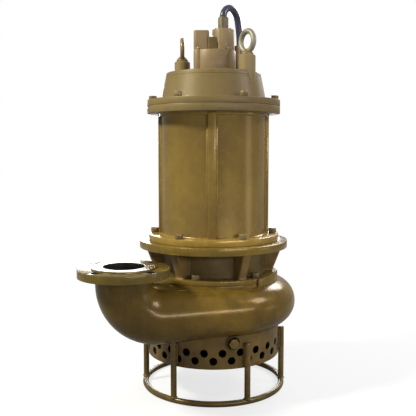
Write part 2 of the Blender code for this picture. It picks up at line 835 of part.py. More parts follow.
# Lifting eyebolts: a ring on a collar, with a stud down into the lug
eye_outline = [
    (
        eye_ring_radius + eye_bar_radius * math.cos(math.tau * number / hole_sides),
        eye_bar_radius * math.sin(math.tau * number / hole_sides),
    )
    for number in range(hole_sides)
]
collar_outline = [
    (0, -eye_stud_length),
    (eye_stud_radius, -eye_stud_length),
    (eye_stud_radius, 0),
    (eye_collar_foot_radius, 0),
    (eye_collar_foot_radius, eye_collar_height / 2),
    (eye_collar_top_radius, eye_collar_height),
    (0, eye_collar_height),
]
upright = Matrix.Translation((0, 0, eye_centre_rise)) @ Matrix.Rotation(math.pi / 2, 4, "Y")
for name, place, turn_deg in zip(("eyebolt_right", "eyebolt_left"), lug_places, eyebolt_turns_deg):
    seat = place.translation + Vector((0, 0, lug_top_z + seat_gap))
    eyebolt = piece(name, turned(collar_outline, leg_sides), zinc, at=seat, turn_deg=turn_deg)
    change(eyebolt, moved(turned(eye_outline, eye_sides), upright), "UNION", at=seat)

# Junction head: base, plugged control entry and power cable gland
base_disc = disc(junction_radius, junction_z, junction_top_z)
base = piece("junction_base", base_disc, ochre_paint, head_axis, at=(head_shift, 0, 0))
web_x = (gland_reach - gland_across / 2 - block_reach + block_width / 2) / 2 - head_shift
web_outline = [
    (web_x - web_width / 2, -web_depth / 2),
    (web_x + web_width / 2, -web_depth / 2),
    (web_x + web_width / 2, web_depth / 2),
    (web_x - web_width / 2, web_depth / 2),
]
web = prism(web_outline, junction_top_z - overrun, junction_top_z + web_rise)
change(base, web, "UNION", at=(head_shift, 0, 0))
half = block_width / 2
inner = half - block_corner
block_outline = [
    (half, -inner),
    (half, inner),
    (inner, half),
    (-inner, half),
    (-half, inner),
    (-half, -inner),
    (-inner, -half),
    (inner, -half),
]
block = prism(block_outline, entry_z, entry_z + block_height - block_corner / 2)
top_face = max(block.faces, key=lambda face: face.calc_center_median().z)
bmesh.ops.inset_region(block, faces=[top_face], thickness=block_corner / 2, depth=block_corner / 2)
piece("control_entry", block, ochre_paint, head_axis, at=(-block_reach, 0, 0))
gland_corner = gland_across / 2 / math.cos(math.pi / gland_sides)
gland_top_z = entry_z + gland_height
gland_outline = [
    (0, entry_z),
    (gland_corner - gland_lip, entry_z),
    (gland_corner - gland_lip, gland_top_z - gland_lip_height - gland_lip),
    (gland_corner, gland_top_z - gland_lip_height),
    (gland_corner, gland_top_z),
    (0, gland_top_z),
]
gland = moved(turned(gland_outline, gland_sides), Matrix.Rotation(math.pi / gland_sides, 4, "Z"))
piece("gland_body", gland, ochre_paint, head_axis, at=(gland_reach, 0, 0))
nut_z = gland_top_z + seat_gap
nut_top_z = nut_z + gland_nut_height
gland_nut = disc(gland_nut_radius, nut_z, nut_top_z, gland_nut_sides)
piece("gland_nut", gland_nut, bolt_steel, head_axis, at=(gland_reach, 0, 0))


def on_rotor(outline, name, material, sides=small_sides):
    """A turned piece of the rotor, with its origin on the shaft axis at the impeller."""
    lowered = [(radius, height - spiral_z) for radius, height in outline]
    return piece(name, turned(lowered, sides), material, rotor_axis)


# Shaft, stepped for nut, agitator, impeller, seal, bearings and rotor
impeller_top_z = seal_cover_low - impeller_clearance
race_low_z = bearing_seat_z + seat_gap
race_top_z = race_low_z + lower_bearing_width
upper_race_z = shield_low_z + seat_gap
shaft_shoulder_z = upper_race_z - seat_gap
shaft_top_z = upper_race_z + upper_bearing_width
shaft_outline = [
    (0, shaft_bottom_z),
    (shaft_end_radius, shaft_bottom_z),
    (shaft_end_radius, impeller_top_z + seat_gap),
    (shaft_seal_radius, impeller_top_z + seat_gap),
    (shaft_seal_radius, oil_top_z),
    (shaft_bearing_radius, oil_top_z),
    (shaft_bearing_radius, race_top_z + seat_gap),
    (shaft_core_radius, race_top_z + seat_gap),
    (shaft_core_radius, shaft_shoulder_z - shield_ledge - seat_gap),
    (shaft_top_radius, shaft_shoulder_z - shield_ledge - seat_gap),
    (shaft_top_radius, shaft_top_z),
    (0, shaft_top_z),
]
on_rotor(shaft_outline, "shaft", shaft_steel)


def sleeve(name, inner, outer, low, high, material, sides=small_sides):
    """A plain ring of the rotor."""
    outline = [(inner, low), (outer, low), (outer, high), (inner, high)]
    return on_rotor(outline, name, material, sides)


def bearing(name, low, width, outer_radius, race_radius, shaft_radius):
    """A ball bearing: its shielded outer ring, and the inner race on the shaft."""
    outer_ring = ring(race_radius + race_clearance, outer_radius, low, low + width, small_sides)
    piece(f"{name}_outer_ring", outer_ring, shaft_steel)
    sleeve(f"{name}_inner_race", shaft_radius + seat_gap, race_radius, low, low + width, shaft_steel)


bearing(
    "lower_bearing",
    race_low_z,
    lower_bearing_width,
    lower_bearing_radius,
    lower_race_radius,
    shaft_bearing_radius,
)
bearing(
    "upper_bearing",
    upper_race_z,
    upper_bearing_width,
    upper_bearing_radius,
    upper_race_radius,
    shaft_top_radius,
)
sleeve(
    "seal_rotating_ring",
    shaft_seal_radius + seat_gap,
    seal_face_radius,
    seal_split_z + seat_gap,
    seal_split_z + seal_ring_height,
    seal_carbide,
)

# Rotor core with its end rings
rotor_radius = stator_bore_radius - rotor_clearance
core_bore = shaft_core_radius + seat_gap
core_outline = [
    (core_bore, stator_z - rotor_end_ring),
    (rotor_end_ring_radius, stator_z - rotor_end_ring),
    (rotor_end_ring_radius, stator_z),
    (rotor_radius, stator_z),
    (rotor_radius, stator_top_z),
    (rotor_end_ring_radius, stator_top_z),
    (rotor_end_ring_radius, stator_top_z + rotor_end_ring),
    (core_bore, stator_top_z + rotor_end_ring),
]
on_rotor(core_outline, "rotor_core", core_iron)

# Impeller: hub, back shroud and swept vanes that run over the wear face
vane_low_z = wear_face_z + impeller_clearance
hub_bore = shaft_end_radius + seat_gap
shroud_low_z = impeller_top_z - impeller_shroud
impeller_outline = [
    (hub_bore, vane_low_z),
    (impeller_hub_radius, vane_low_z),
    (impeller_hub_radius, shroud_low_z),
    (impeller_radius, shroud_low_z),
    (impeller_radius, impeller_top_z),
    (hub_bore, impeller_top_z),
]
impeller = on_rotor(impeller_outline, "impeller", chrome_iron, small_sides)
vane_start = impeller_hub_radius - impeller_vane_thickness / 2
edges = ([], [])
for step in range(vane_steps + 1):
    share = step / vane_steps
    reach = vane_start + (impeller_radius - impeller_vane_thickness / 2 - vane_start) * share
    angle = math.radians(impeller_vane_sweep_deg) * share
    for edge, side in zip(edges, (-1, 1)):
        turn = angle + side * impeller_vane_thickness / 2 / reach
        edge.append((reach * math.cos(turn), reach * math.sin(turn)))
vane = prism(edges[0] + edges[1][::-1], vane_low_z - spiral_z, shroud_low_z + overrun - spiral_z)
change(impeller, repeated(vane, round_places(impeller_vane_count, 0)), "UNION")

# Agitator: a long hub up through the eye, with three blades under it
nut_low_z = shaft_bottom_z + seat_gap
agitator_low_z = nut_low_z + nut_height + seat_gap
agitator_outline = [
    (hub_bore, agitator_low_z),
    (agitator_hub_radius, agitator_low_z),
    (agitator_hub_radius, vane_low_z - seat_gap),
    (hub_bore, vane_low_z - seat_gap),
]
agitator = on_rotor(agitator_outline, "agitator", chrome_iron)
blade_low = agitator_low_z + overrun - spiral_z
blade_outline = [
    (hub_bore + overrun, blade_low),
    (agitator_radius, blade_low),
    (agitator_radius, blade_low + agitator_blade_height / 2),
    (agitator_radius - agitator_blade_height / 2, blade_low + agitator_blade_height),
    (hub_bore + overrun, blade_low + agitator_blade_height),
]
blades = repeated(plate(blade_outline, agitator_blade_thickness), round_places(agitator_blade_count, 0))
change(agitator, blades, "UNION")
nut_corner = nut_across / 2 / math.cos(math.pi / nut_sides)
nut_high_z = nut_low_z + nut_height
nut_outline = [(0, nut_low_z), (nut_corner, nut_low_z), (nut_corner, nut_high_z), (0, nut_high_z)]
nut = on_rotor(nut_outline, "agitator_nut", bolt_steel, nut_sides)
nut_bore = disc(hub_bore, nut_low_z - overrun - spiral_z, nut_high_z + overrun - spiral_z, small_sides)
change(nut, nut_bore, "DIFFERENCE")

# Power cable: route points square to the junction head, chosen along the real drape
cable_route = [
    (0.0248, 0.0000, 0.9530),
    (0.0285, 0.0048, 0.9645),
    (0.0360, 0.0145, 0.9730),
    (0.0460, 0.0275, 0.9745),
    (0.0555, 0.0400, 0.9680),
    (0.0618, 0.0485, 0.9550),
    (0.0655, 0.0545, 0.9370),
    (0.0690, 0.0610, 0.9050),
    (0.0690, 0.0690, 0.8740),
    (0.0620, 0.0830, 0.8480),
    (0.0500, 0.1020, 0.8300),
    (0.0350, 0.1220, 0.8190),
    (0.0190, 0.1415, 0.8010),
    (0.0050, 0.1580, 0.7780),
    (-0.0080, 0.1740, 0.7540),
    (-0.0200, 0.1850, 0.7250),
    (-0.0320, 0.1920, 0.6850),
    (-0.0430, 0.1965, 0.6250),
    (-0.0520, 0.1995, 0.5500),
    (-0.0580, 0.2015, 0.4600),
    (-0.0600, 0.2025, 0.3750),
    (-0.0600, 0.2030, 0.2900),
    (-0.0590, 0.2035, 0.2100),
    (-0.0550, 0.2040, 0.1400),
    (-0.0450, 0.2065, 0.0800),
    (-0.0310, 0.2110, 0.0370),
    (-0.0120, 0.2180, 0.0140),
    (0.0065, 0.2275, 0.0092),
    (0.0244, 0.2347, 0.0090),
]
route_step = 0.045


def smooth_line(points, spacing):
    """Points along a Catmull-Rom curve through the route, no further apart than the spacing."""
    ends = [points[0] * 2 - points[1], *points, points[-1] * 2 - points[-2]]
    line = []
    for a, b, c, d in zip(ends, ends[1:], ends[2:], ends[3:]):
        steps = math.ceil((c - b).length / spacing)
        for step in range(steps):
            t = step / steps
            bend = (a * 2 - b * 5 + c * 4 - d) * t**2 + (b * 3 - a - c * 3 + d) * t**3
            line.append((b * 2 + (c - a) * t + bend) / 2)
    return line + [points[-1]]


def cord_tube(name, line):
    """A round cord as a poly curve with filled ends."""
    curve = bpy.data.curves.new(name, "CURVE")
    curve.dimensions = "3D"
    curve.bevel_depth = cable_diameter / 2
    curve.bevel_resolution = 2
    curve.use_fill_caps = True
    spline = curve.splines.new("POLY")
    spline.points.add(len(line) - 1)
    for slot, point in zip(spline.points, line):
        slot.co = (*point, 1)
    curve.materials.append(cable_rubber)
    made = bpy.data.objects.new(name, curve)
    bpy.context.scene.collection.objects.link(made)
    made.parent = head_axis
    return made


cable_exit = Vector((gland_reach, 0, nut_top_z + seat_gap))
cable_line = smooth_line([Vector(point) for point in cable_route], route_step)
cord_tube("cable", [cable_exit, *cable_line])
coil_half = coil_turns_across * cable_diameter / 2
coil_height = coil_turns_high * cable_diameter
chamfer = coil_height * coil_chamfer_share
coil_outline = [
    (coil_radius - coil_half + chamfer, 0),
    (coil_radius + coil_half - chamfer, 0),
    (coil_radius + coil_half, chamfer),
    (coil_radius + coil_half, coil_height - chamfer),
    (coil_radius + coil_half - chamfer, coil_height),
    (coil_radius - coil_half + chamfer, coil_height),
    (coil_radius - coil_half, coil_height - chamfer),
    (coil_radius - coil_half, chamfer),
]
piece("cable_coil", turned(coil_outline, coil_sides), cable_rubber, head_axis, at=(0, coil_distance, 0))
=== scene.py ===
from math import atan2, cos, pi, radians, sin, tau

import bmesh
import bpy
from mathutils import Matrix, Vector


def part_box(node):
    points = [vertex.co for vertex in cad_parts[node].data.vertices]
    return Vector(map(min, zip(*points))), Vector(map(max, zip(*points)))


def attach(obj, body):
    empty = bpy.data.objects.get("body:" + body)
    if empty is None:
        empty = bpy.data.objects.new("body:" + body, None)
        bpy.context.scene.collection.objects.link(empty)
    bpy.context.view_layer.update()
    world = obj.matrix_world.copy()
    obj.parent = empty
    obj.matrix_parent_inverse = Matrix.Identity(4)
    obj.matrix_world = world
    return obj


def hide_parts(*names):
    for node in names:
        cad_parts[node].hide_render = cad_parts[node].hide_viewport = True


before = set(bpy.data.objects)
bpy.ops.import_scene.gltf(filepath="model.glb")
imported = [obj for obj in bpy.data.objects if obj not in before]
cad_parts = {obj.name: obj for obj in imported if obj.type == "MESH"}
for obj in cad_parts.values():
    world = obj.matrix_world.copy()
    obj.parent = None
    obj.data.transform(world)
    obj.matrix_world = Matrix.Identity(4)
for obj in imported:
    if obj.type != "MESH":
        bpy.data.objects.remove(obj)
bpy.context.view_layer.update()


# The pump stands upright on its ring. Everything turned is turned about this axis, and the
# junction head on top sits square to the viewer, a little off the discharge. The camera is
# at eye level with the bracket, tipped a little down.
def shift(x=0.0, y=0.0, z=0.0):
    """A move, in metres."""
    return Matrix.Translation((x, y, z))


def swing(deg, axis="Z"):
    """A turn about an axis through the origin."""
    return Matrix.Rotation(radians(deg), 4, axis)


def added(name, data):
    """A new object in the scene, at the origin."""
    item = bpy.data.objects.new(name, data)
    bpy.context.scene.collection.objects.link(item)
    return item


frame_low, frame_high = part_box("motor_frame")
pump = shift((frame_low.x + frame_high.x) / 2, (frame_low.y + frame_high.y) / 2)
head_turn_deg = -18
head = pump @ swing(head_turn_deg)
camera_data = bpy.data.cameras.new("camera")
camera_data.sensor_width = 36
camera_data.lens = 56.25
camera = added("camera", camera_data)
camera_tip_deg = 90 - 5.1
camera.matrix_world = head @ shift(-0.014, -1.685, 0.613) @ swing(camera_tip_deg, "X")
bpy.context.scene.camera = camera
bpy.context.scene.view_settings.view_transform = "Standard"

# Power cable: ten metres of round rubber-sheathed cable, four cores. It leaves the gland
# straight up, bends over behind the right eyebolt, drops down the back and lies in a coil.
# The route is the one that its solid takes.
cable_diameter = 0.0175
cable_length = 10.0
cable_drop = [
    (0.0248, 0.0000, 0.9492), (0.0251, 0.0003, 0.9540), (0.0285, 0.0048, 0.9645),
    (0.0360, 0.0145, 0.9730), (0.0460, 0.0275, 0.9745), (0.0555, 0.0400, 0.9680),
    (0.0618, 0.0485, 0.9550), (0.0655, 0.0545, 0.9370), (0.0690, 0.0610, 0.9050),
    (0.0690, 0.0690, 0.8740), (0.0620, 0.0830, 0.8480), (0.0500, 0.1020, 0.8300),
    (0.0350, 0.1220, 0.8190), (0.0190, 0.1415, 0.8010), (0.0050, 0.1580, 0.7780),
    (-0.0080, 0.1740, 0.7540), (-0.0200, 0.1850, 0.7250), (-0.0320, 0.1920, 0.6850),
    (-0.0430, 0.1965, 0.6250), (-0.0520, 0.1995, 0.5500), (-0.0580, 0.2015, 0.4600),
    (-0.0600, 0.2025, 0.3750), (-0.0600, 0.2030, 0.2900), (-0.0590, 0.2035, 0.2100),
    (-0.0550, 0.2040, 0.1400), (-0.0450, 0.2065, 0.0800), (-0.0310, 0.2110, 0.0370),
    (-0.0120, 0.2180, 0.0140), (0.0065, 0.2275, 0.0099), (0.0244, 0.2347, 0.0099),
]
coil_centre = Vector((0, 0.42, 0))
coil_mid_radius = 0.153
coil_rest = 0.0012
coil_point_deg = 14.4
coil_sector_deg = 28
coil_first_lane = 1.95
# From which angle on, how many lanes outwards and how many layers up
coil_steps = [
    (0, -0.95, 0), (360, -1, 0), (720, -1, 0), (1080 - 36, 0, 1), (1440 - 64, 1, 0),
    (1800 - 64, 1, 0), (2160 - 92, 0, 1), (2520 - 120, -1, 0), (2880 - 120, -1, 0),
]


def coil_lane(turn_deg):
    """Lane out from the middle and layer up, at an angle wound since the cable arrived. Each
    step takes a turn over to the next lane or layer, smoothly, within a short sector."""
    lane, layer = coil_first_lane, 0
    for start_deg, lane_step, layer_step in coil_steps:
        share = min(max((turn_deg - start_deg) / coil_sector_deg, 0), 1)
        share = share * share * (3 - 2 * share)
        lane += lane_step * share
        layer += layer_step * share
    return lane, layer


cable_points = [Vector(point) for point in cable_drop]
arrival = cable_points[-1] - coil_centre
arrival_angle = atan2(arrival.y, arrival.x)
wound = sum((b - a).length for a, b in zip(cable_points, cable_points[1:]))
turn_deg = coil_point_deg
while wound < cable_length:
    lane, layer = coil_lane(turn_deg)
    angle = arrival_angle + radians(turn_deg)
    reach = coil_mid_radius + lane * cable_diameter
    lift = coil_rest + cable_diameter * (0.5 + layer)
    point = coil_centre + Vector((reach * cos(angle), reach * sin(angle), lift))
    wound += (point - cable_points[-1]).length
    cable_points.append(point)
    turn_deg += coil_point_deg


class Signal:
    """A number that varies over a surface; sums and products of it add Math nodes."""

    def __init__(self, finish, socket):
        self.finish = finish
        self.socket = socket

    def sum_up(self, operation, first, second):
        return self.finish.signal("Math", {"operation": operation}, {0: first, 1: second})

    def __add__(self, other):
        return self.sum_up("ADD", self, other)

    def __mul__(self, other):
        return self.sum_up("MULTIPLY", self, other)

    def __sub__(self, other):
        return self.sum_up("SUBTRACT", self, other)

    def __rsub__(self, other):
        return self.sum_up("SUBTRACT", other, self)

    __radd__ = __add__
    __rmul__ = __mul__

    def between(self, low, high):
        """0 below low, 1 above high, and smooth in between."""
        settings = {"interpolation_type": "SMOOTHSTEP", "clamp": True}
        sockets = {"Value": self, "From Min": low, "From Max": high}
        return self.finish.signal("MapRange", settings, sockets)


class Finish:
    """The node tree of one finish, and the few kinds of step that the finishes share."""

    def __init__(self, name, kept_in=bpy.data.materials):
        self.kept = kept_in.new(name)
        self.kept.use_nodes = True
        self.tree = self.kept.node_tree
        self.tree.nodes.clear()

    def node(self, kind, settings=None, sockets=None):
        """A node with its settings; its sockets take numbers, colours, signals or nodes."""
        new_node = self.tree.nodes.new("ShaderNode" + kind)
        for setting, value in (settings or {}).items():
            setattr(new_node, setting, value)
        for key, value in (sockets or {}).items():
            socket = new_node.inputs[key]
            if isinstance(value, Signal):
                value = value.socket
            elif isinstance(value, bpy.types.Node):
                value = value.outputs[0]
            if isinstance(value, bpy.types.NodeSocket):
                self.tree.links.new(value, socket)
            else:
                socket.default_value = (*value, 1) if socket.type == "RGBA" else value
        return new_node

    def signal(self, kind, settings=None, sockets=None, output=0):
        return Signal(self, self.node(kind, settings, sockets).outputs[output])

    def place(self):
        """The piece's own coordinates, which stay with it as it moves."""
        return self.node("TexCoord").outputs["Object"]

    def noise(self, scale, detail=3, rough=0.5, stretch=None, offset=0):
        """Cloudy noise, so many features to the metre, drawn out where stretch is given."""
        place = self.place()
        if stretch or offset:
            mapped = {"Vector": place, "Scale": stretch or (1, 1, 1), "Location": (offset,) * 3}
            place = self.node("Mapping", {}, mapped)
        sockets = {"Vector": place, "Scale": scale, "Detail": detail, "Roughness": rough}
        return self.signal("TexNoise", {}, sockets, "Fac")

    def along(self, way):
        """Where a point of the piece lies along X, Y or Z."""
        return self.signal("SeparateXYZ", {}, {"Vector": self.place()}, way)

    def blend(self, share, first, second):
        """The first colour where share is 0, the second where it is 1."""
        settings = {"data_type": "RGBA", "clamp_factor": True}
        return self.node("Mix", settings, {0: share, 6: first, 7: second}).outputs[2]

    def bump(self, height, depth, strength=1.0, below=None):
        sockets = {"Height": height, "Distance": depth, "Strength": strength}
        return self.node("Bump", {}, {**sockets, "Normal": below} if below else sockets)

    def shown(self, shader, kind="OutputMaterial"):
        self.node(kind, {}, {"Surface": shader})
        return self.kept

    def surface(self, sockets):
        return self.shown(self.node("BsdfPrincipled", {}, sockets))


def rubber(name, tone, rough):
    """Extruded sheath: fine lengthwise drag, a few dusty smears."""
    finish = Finish(name)
    dust = finish.noise(26, 4).between(0.52, 0.78)
    grain = finish.noise(420, 2)
    return finish.surface({
        "Base Color": finish.blend(dust * 0.35, tone, tuple(0.10 + part for part in tone)),
        "Roughness": dust * 0.25 + rough,
        "Specular IOR Level": 0.6,
        "Normal": finish.bump(grain, depth=0.0002, strength=0.4),
    })


def strung(name, points, thickness, finish, resolution=3, sides=4):
    """A round cord through the points, as a curve of one smooth spline."""
    line = bpy.data.curves.new(name, "CURVE")
    line.dimensions = "3D"
    line.resolution_u = resolution
    line.bevel_depth = thickness / 2
    line.bevel_resolution = sides
    line.use_fill_caps = True
    line.materials.append(finish)
    spline = line.splines.new("BEZIER")
    spline.bezier_points.add(len(points) - 1)
    for knot, point in zip(spline.bezier_points, points):
        knot.co = head @ point
        knot.handle_left_type = knot.handle_right_type = "AUTO"
    cord = added(name, line)
    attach(cord, "casing")
    return cord


cable_sheath = rubber("cable_sheath", (0.042, 0.044, 0.080), rough=0.26)
cable = strung("power_cable", cable_points, cable_diameter, cable_sheath, resolution=4, sides=5)
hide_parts("cable", "cable_coil")

# Stripped cores at the loose end, ready for a terminal box: three phases and earth, each
# with a few millimetres of bare copper
core_thickness = 0.0042
core_tip_thickness = 0.0026
core_tones = {
    "core_black": (0.02, 0.02, 0.022),
    "core_brown": (0.16, 0.06, 0.025),
    "core_grey": (0.22, 0.22, 0.23),
    "core_earth": (0.10, 0.32, 0.05),
}
copper_finish = Finish("bare_copper")
strand = copper_finish.noise(900, 2)
bare_copper = copper_finish.surface({
    "Base Color": copper_finish.blend(strand, (0.55, 0.24, 0.11), (0.72, 0.36, 0.19)),
    "Metallic": 1.0,
    "Roughness": 0.34,
    "Normal": copper_finish.bump(strand, depth=0.0003, strength=0.5),
})
along = (cable_points[-1] - cable_points[-2]).normalized()
across = along.cross(Vector((0, 0, 1))).normalized()
loose_end = cable_points[-1]
for number, (name, tone) in enumerate(core_tones.items()):
    side = across * (-1.5 + number) * core_thickness * 0.8 + Vector((0, 0, (-1) ** number * 0.0022))
    path = [
        loose_end - along * 0.004 + side * 0.8,
        loose_end + along * 0.012 + side,
        loose_end + along * 0.032 + side * 1.9,
        loose_end + along * (0.050 + 0.003 * number) + side * 2.6,
    ]
    tip_path = [path[-1] + along * ahead for ahead in (-0.002, 0.006, 0.014)]
    strung(name, path, core_thickness, rubber(f"{name}_sleeve", tone, rough=0.38))
    strung(f"{name}_tip", tip_path, core_tip_thickness, bare_copper)

# Ties round the coil: three flat black straps, each with a small buckle, pulled tight
# round its nine strands
tie_degs = (45, 135, 225)
tie_inner = 1.5 * cable_diameter + 0.0002
tie_wall = 0.0009
tie_width = 0.011
tie_corner = 0.0075


def cleaned(shape, reach=0.00001):
    """Doubles merged, edges without a face taken out, and every face turned outwards."""
    bmesh.ops.remove_doubles(shape, verts=shape.verts, dist=reach)
    bare = [edge for edge in shape.edges if not edge.link_faces]
    bmesh.ops.delete(shape, geom=bare, context="EDGES")
    bmesh.ops.recalc_face_normals(shape, faces=shape.faces)
    return shape


def rounded(shape, geom, width, segments, affect="EDGES"):
    """Round the given edges or corners."""
    bmesh.ops.bevel(
        shape, geom=geom, offset=width, offset_type="OFFSET", segments=segments, profile=0.5,
        affect=affect, material=-1, clamp_overlap=True,
    )
    return shape


def soften(shape, width, segments=2, least_deg=30):
    """Round every edge where two faces meet at more than least_deg."""
    least = radians(least_deg)
    edges = cleaned(shape).edges
    sharp = [edge for edge in edges if edge.is_manifold and edge.calc_face_angle(0) > least]
    return rounded(shape, sharp, width, segments)


def joined(*shapes):
    """Several closed shapes in one mesh; a shape given with places is set at each of them."""
    whole = bmesh.new()
    for shape in shapes:
        shape, places = shape if isinstance(shape, tuple) else (shape, [Matrix()])
        plain = bpy.data.meshes.new("joined")
        shape.to_mesh(plain)
        shape.free()
        for place in places:
            placed = plain.copy()
            placed.transform(place)
            whole.from_mesh(placed)
            bpy.data.meshes.remove(placed)
        bpy.data.meshes.remove(plain)
    return whole


def set_out(name, shape):
    """The shape as an object of its own in the scene."""
    mesh = bpy.data.meshes.new(name)
    shape.to_mesh(mesh)
    shape.free()
    return added(name, mesh)


def made(
    name, shape, finish, node=None, place=pump, body="casing", smooth_deg=38,
    others=(),
):
    """Put a finished shape in the scene, on its body, in place of its CAD node. others are
    further finishes, each with a test of a face's centre for where it shows."""
    piece = set_out(name, cleaned(shape, 0.000005))
    mesh = piece.data
    mesh.transform(place)
    mesh.polygons.foreach_set("use_smooth", [True] * len(mesh.polygons))
    mesh.set_sharp_from_angle(angle=radians(smooth_deg))
    mesh.materials.append(finish)
    back = place.inverted()
    for number, (other_finish, shows) in enumerate(others, 1):
        mesh.materials.append(other_finish)
        for face in mesh.polygons:
            if shows(back @ face.center):
                face.material_index = number
    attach(piece, body)
    if node:
        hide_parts(node)
    return piece


def block(width, depth, height):
    """A rectangular block standing on z = 0, centred."""
    shape = bmesh.new()
    sizes = Matrix.Diagonal((width, depth, height, 1))
    bmesh.ops.create_cube(shape, size=1, matrix=shift(z=height / 2) @ sizes)
    return shape


def grown(shape, rim):
    """Extrude an open rim, and give back the new rim's edges and vertices."""
    new = bmesh.ops.extrude_edge_only(shape, edges=rim)["geom"]
    verts = [item for item in new if isinstance(item, bmesh.types.BMVert)]
    edges = [item for item in new if isinstance(item, bmesh.types.BMEdge) and item.is_boundary]
    return edges, verts


def strap(half, wall, width, corner):
    """A flat band bent round a square bundle, in the plane of x and z."""
    shape = bmesh.new()
    bmesh.ops.create_grid(shape, x_segments=1, y_segments=1, size=half)
    rounded(shape, shape.verts[:], corner, 6, "VERTICES")
    rim = shape.edges[:]
    bmesh.ops.delete(shape, geom=shape.faces[:], context="FACES_ONLY")
    raised = grown(shape, rim)[1]
    bmesh.ops.translate(shape, vec=(0, 0, width), verts=raised)
    bmesh.ops.recalc_face_normals(shape, faces=shape.faces)
    bmesh.ops.solidify(shape, geom=shape.faces[:], thickness=wall)
    upright = swing(90, "X") @ shift(z=-width / 2)
    bmesh.ops.transform(shape, matrix=upright, verts=shape.verts)
    return shape


tie_places = [
    shift(*coil_centre)
    @ Matrix.Rotation(arrival_angle + radians(deg), 4, "Z")
    @ shift(coil_mid_radius, 0, coil_rest + 1.5 * cable_diameter)
    for deg in tie_degs
]
tie_buckle = soften(block(0.007, tie_width + 0.003, 0.004), 0.0008)
tie_shape = joined(
    (strap(tie_inner + tie_wall, tie_wall, tie_width, tie_corner), tie_places),
    (tie_buckle, [place @ shift(z=tie_inner) for place in tie_places]),
)
tie_finish = rubber("tie_strap", (0.03, 0.03, 0.032), rough=0.42)
ties = made("coil_ties", tie_shape, tie_finish, None, head)

# Studio: a plain pale floor and a white surround, which show white to the camera and partly
# in reflections and give little light themselves, and six soft lamps
floor_reach = 6


def in_sight(finish, glossy):
    """1 for what the camera sees, straight or through glass, and glossy for reflections."""
    rays = finish.node("LightPath").outputs
    camera_ray = Signal(finish, rays["Is Camera Ray"])
    through_ray = Signal(finish, rays["Is Transmission Ray"])
    return camera_ray + through_ray + Signal(finish, rays["Is Glossy Ray"]) * glossy


floor_shape = bmesh.new()
bmesh.ops.create_grid(floor_shape, x_segments=1, y_segments=1, size=floor_reach)
floor = set_out("floor", floor_shape)
floor_finish = Finish("studio_floor")
matt = floor_finish.node("BsdfDiffuse", {}, {"Color": (0.30, 0.29, 0.28)})
white = floor_finish.node("BsdfDiffuse", {}, {"Color": (0.95, 0.95, 0.95)})
bright = floor_finish.node("Emission", {}, {"Color": (1, 1, 1), "Strength": 1.0})
from_middle = {0: floor_finish.place()}
distance = floor_finish.signal("VectorMath", {"operation": "LENGTH"}, from_middle, "Value")
bright_share = distance.between(0.5, 1.4) * 0.28 + 0.72
seen_floor = floor_finish.node("MixShader", {}, {0: bright_share, 1: white, 2: bright})
shares = {0: in_sight(floor_finish, 0.10), 1: matt, 2: seen_floor}
floor.data.materials.append(floor_finish.shown(floor_finish.node("MixShader", {}, shares)))

surround = Finish("surround", bpy.data.worlds)
soft_light = surround.node("Background", {}, {"Color": (0.93, 0.96, 1), "Strength": 0.19})
white = surround.node("Background", {}, {"Color": (1, 1, 1), "Strength": 1.0})
shares = {0: in_sight(surround, 0.20), 1: soft_light, 2: white}
surround_light = surround.node("MixShader", {}, shares)
bpy.context.scene.world = surround.shown(surround_light, "OutputWorld")

# Where each lamp stands, its width and depth, its watts and its tone
lamp_target = Vector((0, 0, 0.5))
lamps = {
    "lamp_key": ((-1.70, -0.74, 2.15), 0.40, 0.40, 70, (1, 0.97, 0.83)),
    "lamp_side": ((2.0, -0.45, 1.95), 0.8, 0.8, 19, (1, 0.95, 0.98)),
    "lamp_card": ((2.0, -0.35, 0.36), 0.50, 0.36, 0.9, (1, 0.96, 0.97)),
    "lamp_front": ((1.5, -2.4, 1.0), 2.2, 0.24, 24, (1, 0.94, 0.96)),
    "lamp_back": ((-0.3, 3.0, 0.90), 1.7, 0.6, 34, (1, 1, 1)),
    "lamp_rear": ((1.3, 2.3, 1.9), 1.4, 0.9, 46, (1, 1, 1)),
}
for name, (spot, width, depth, power, tone) in lamps.items():
    lamp_data = bpy.data.lights.new(name, "AREA")
    lamp_data.shape = "RECTANGLE"
    lamp_data.size = width
    lamp_data.size_y = depth
    lamp_data.energy = power
    lamp_data.color = tone
    lamp = added(name, lamp_data)
    lamp.visible_camera = False
    aim = (lamp_target - Vector(spot)).to_track_quat("-Z", "Y").to_matrix().to_4x4()
    lamp.matrix_world = head @ shift(*spot) @ aim


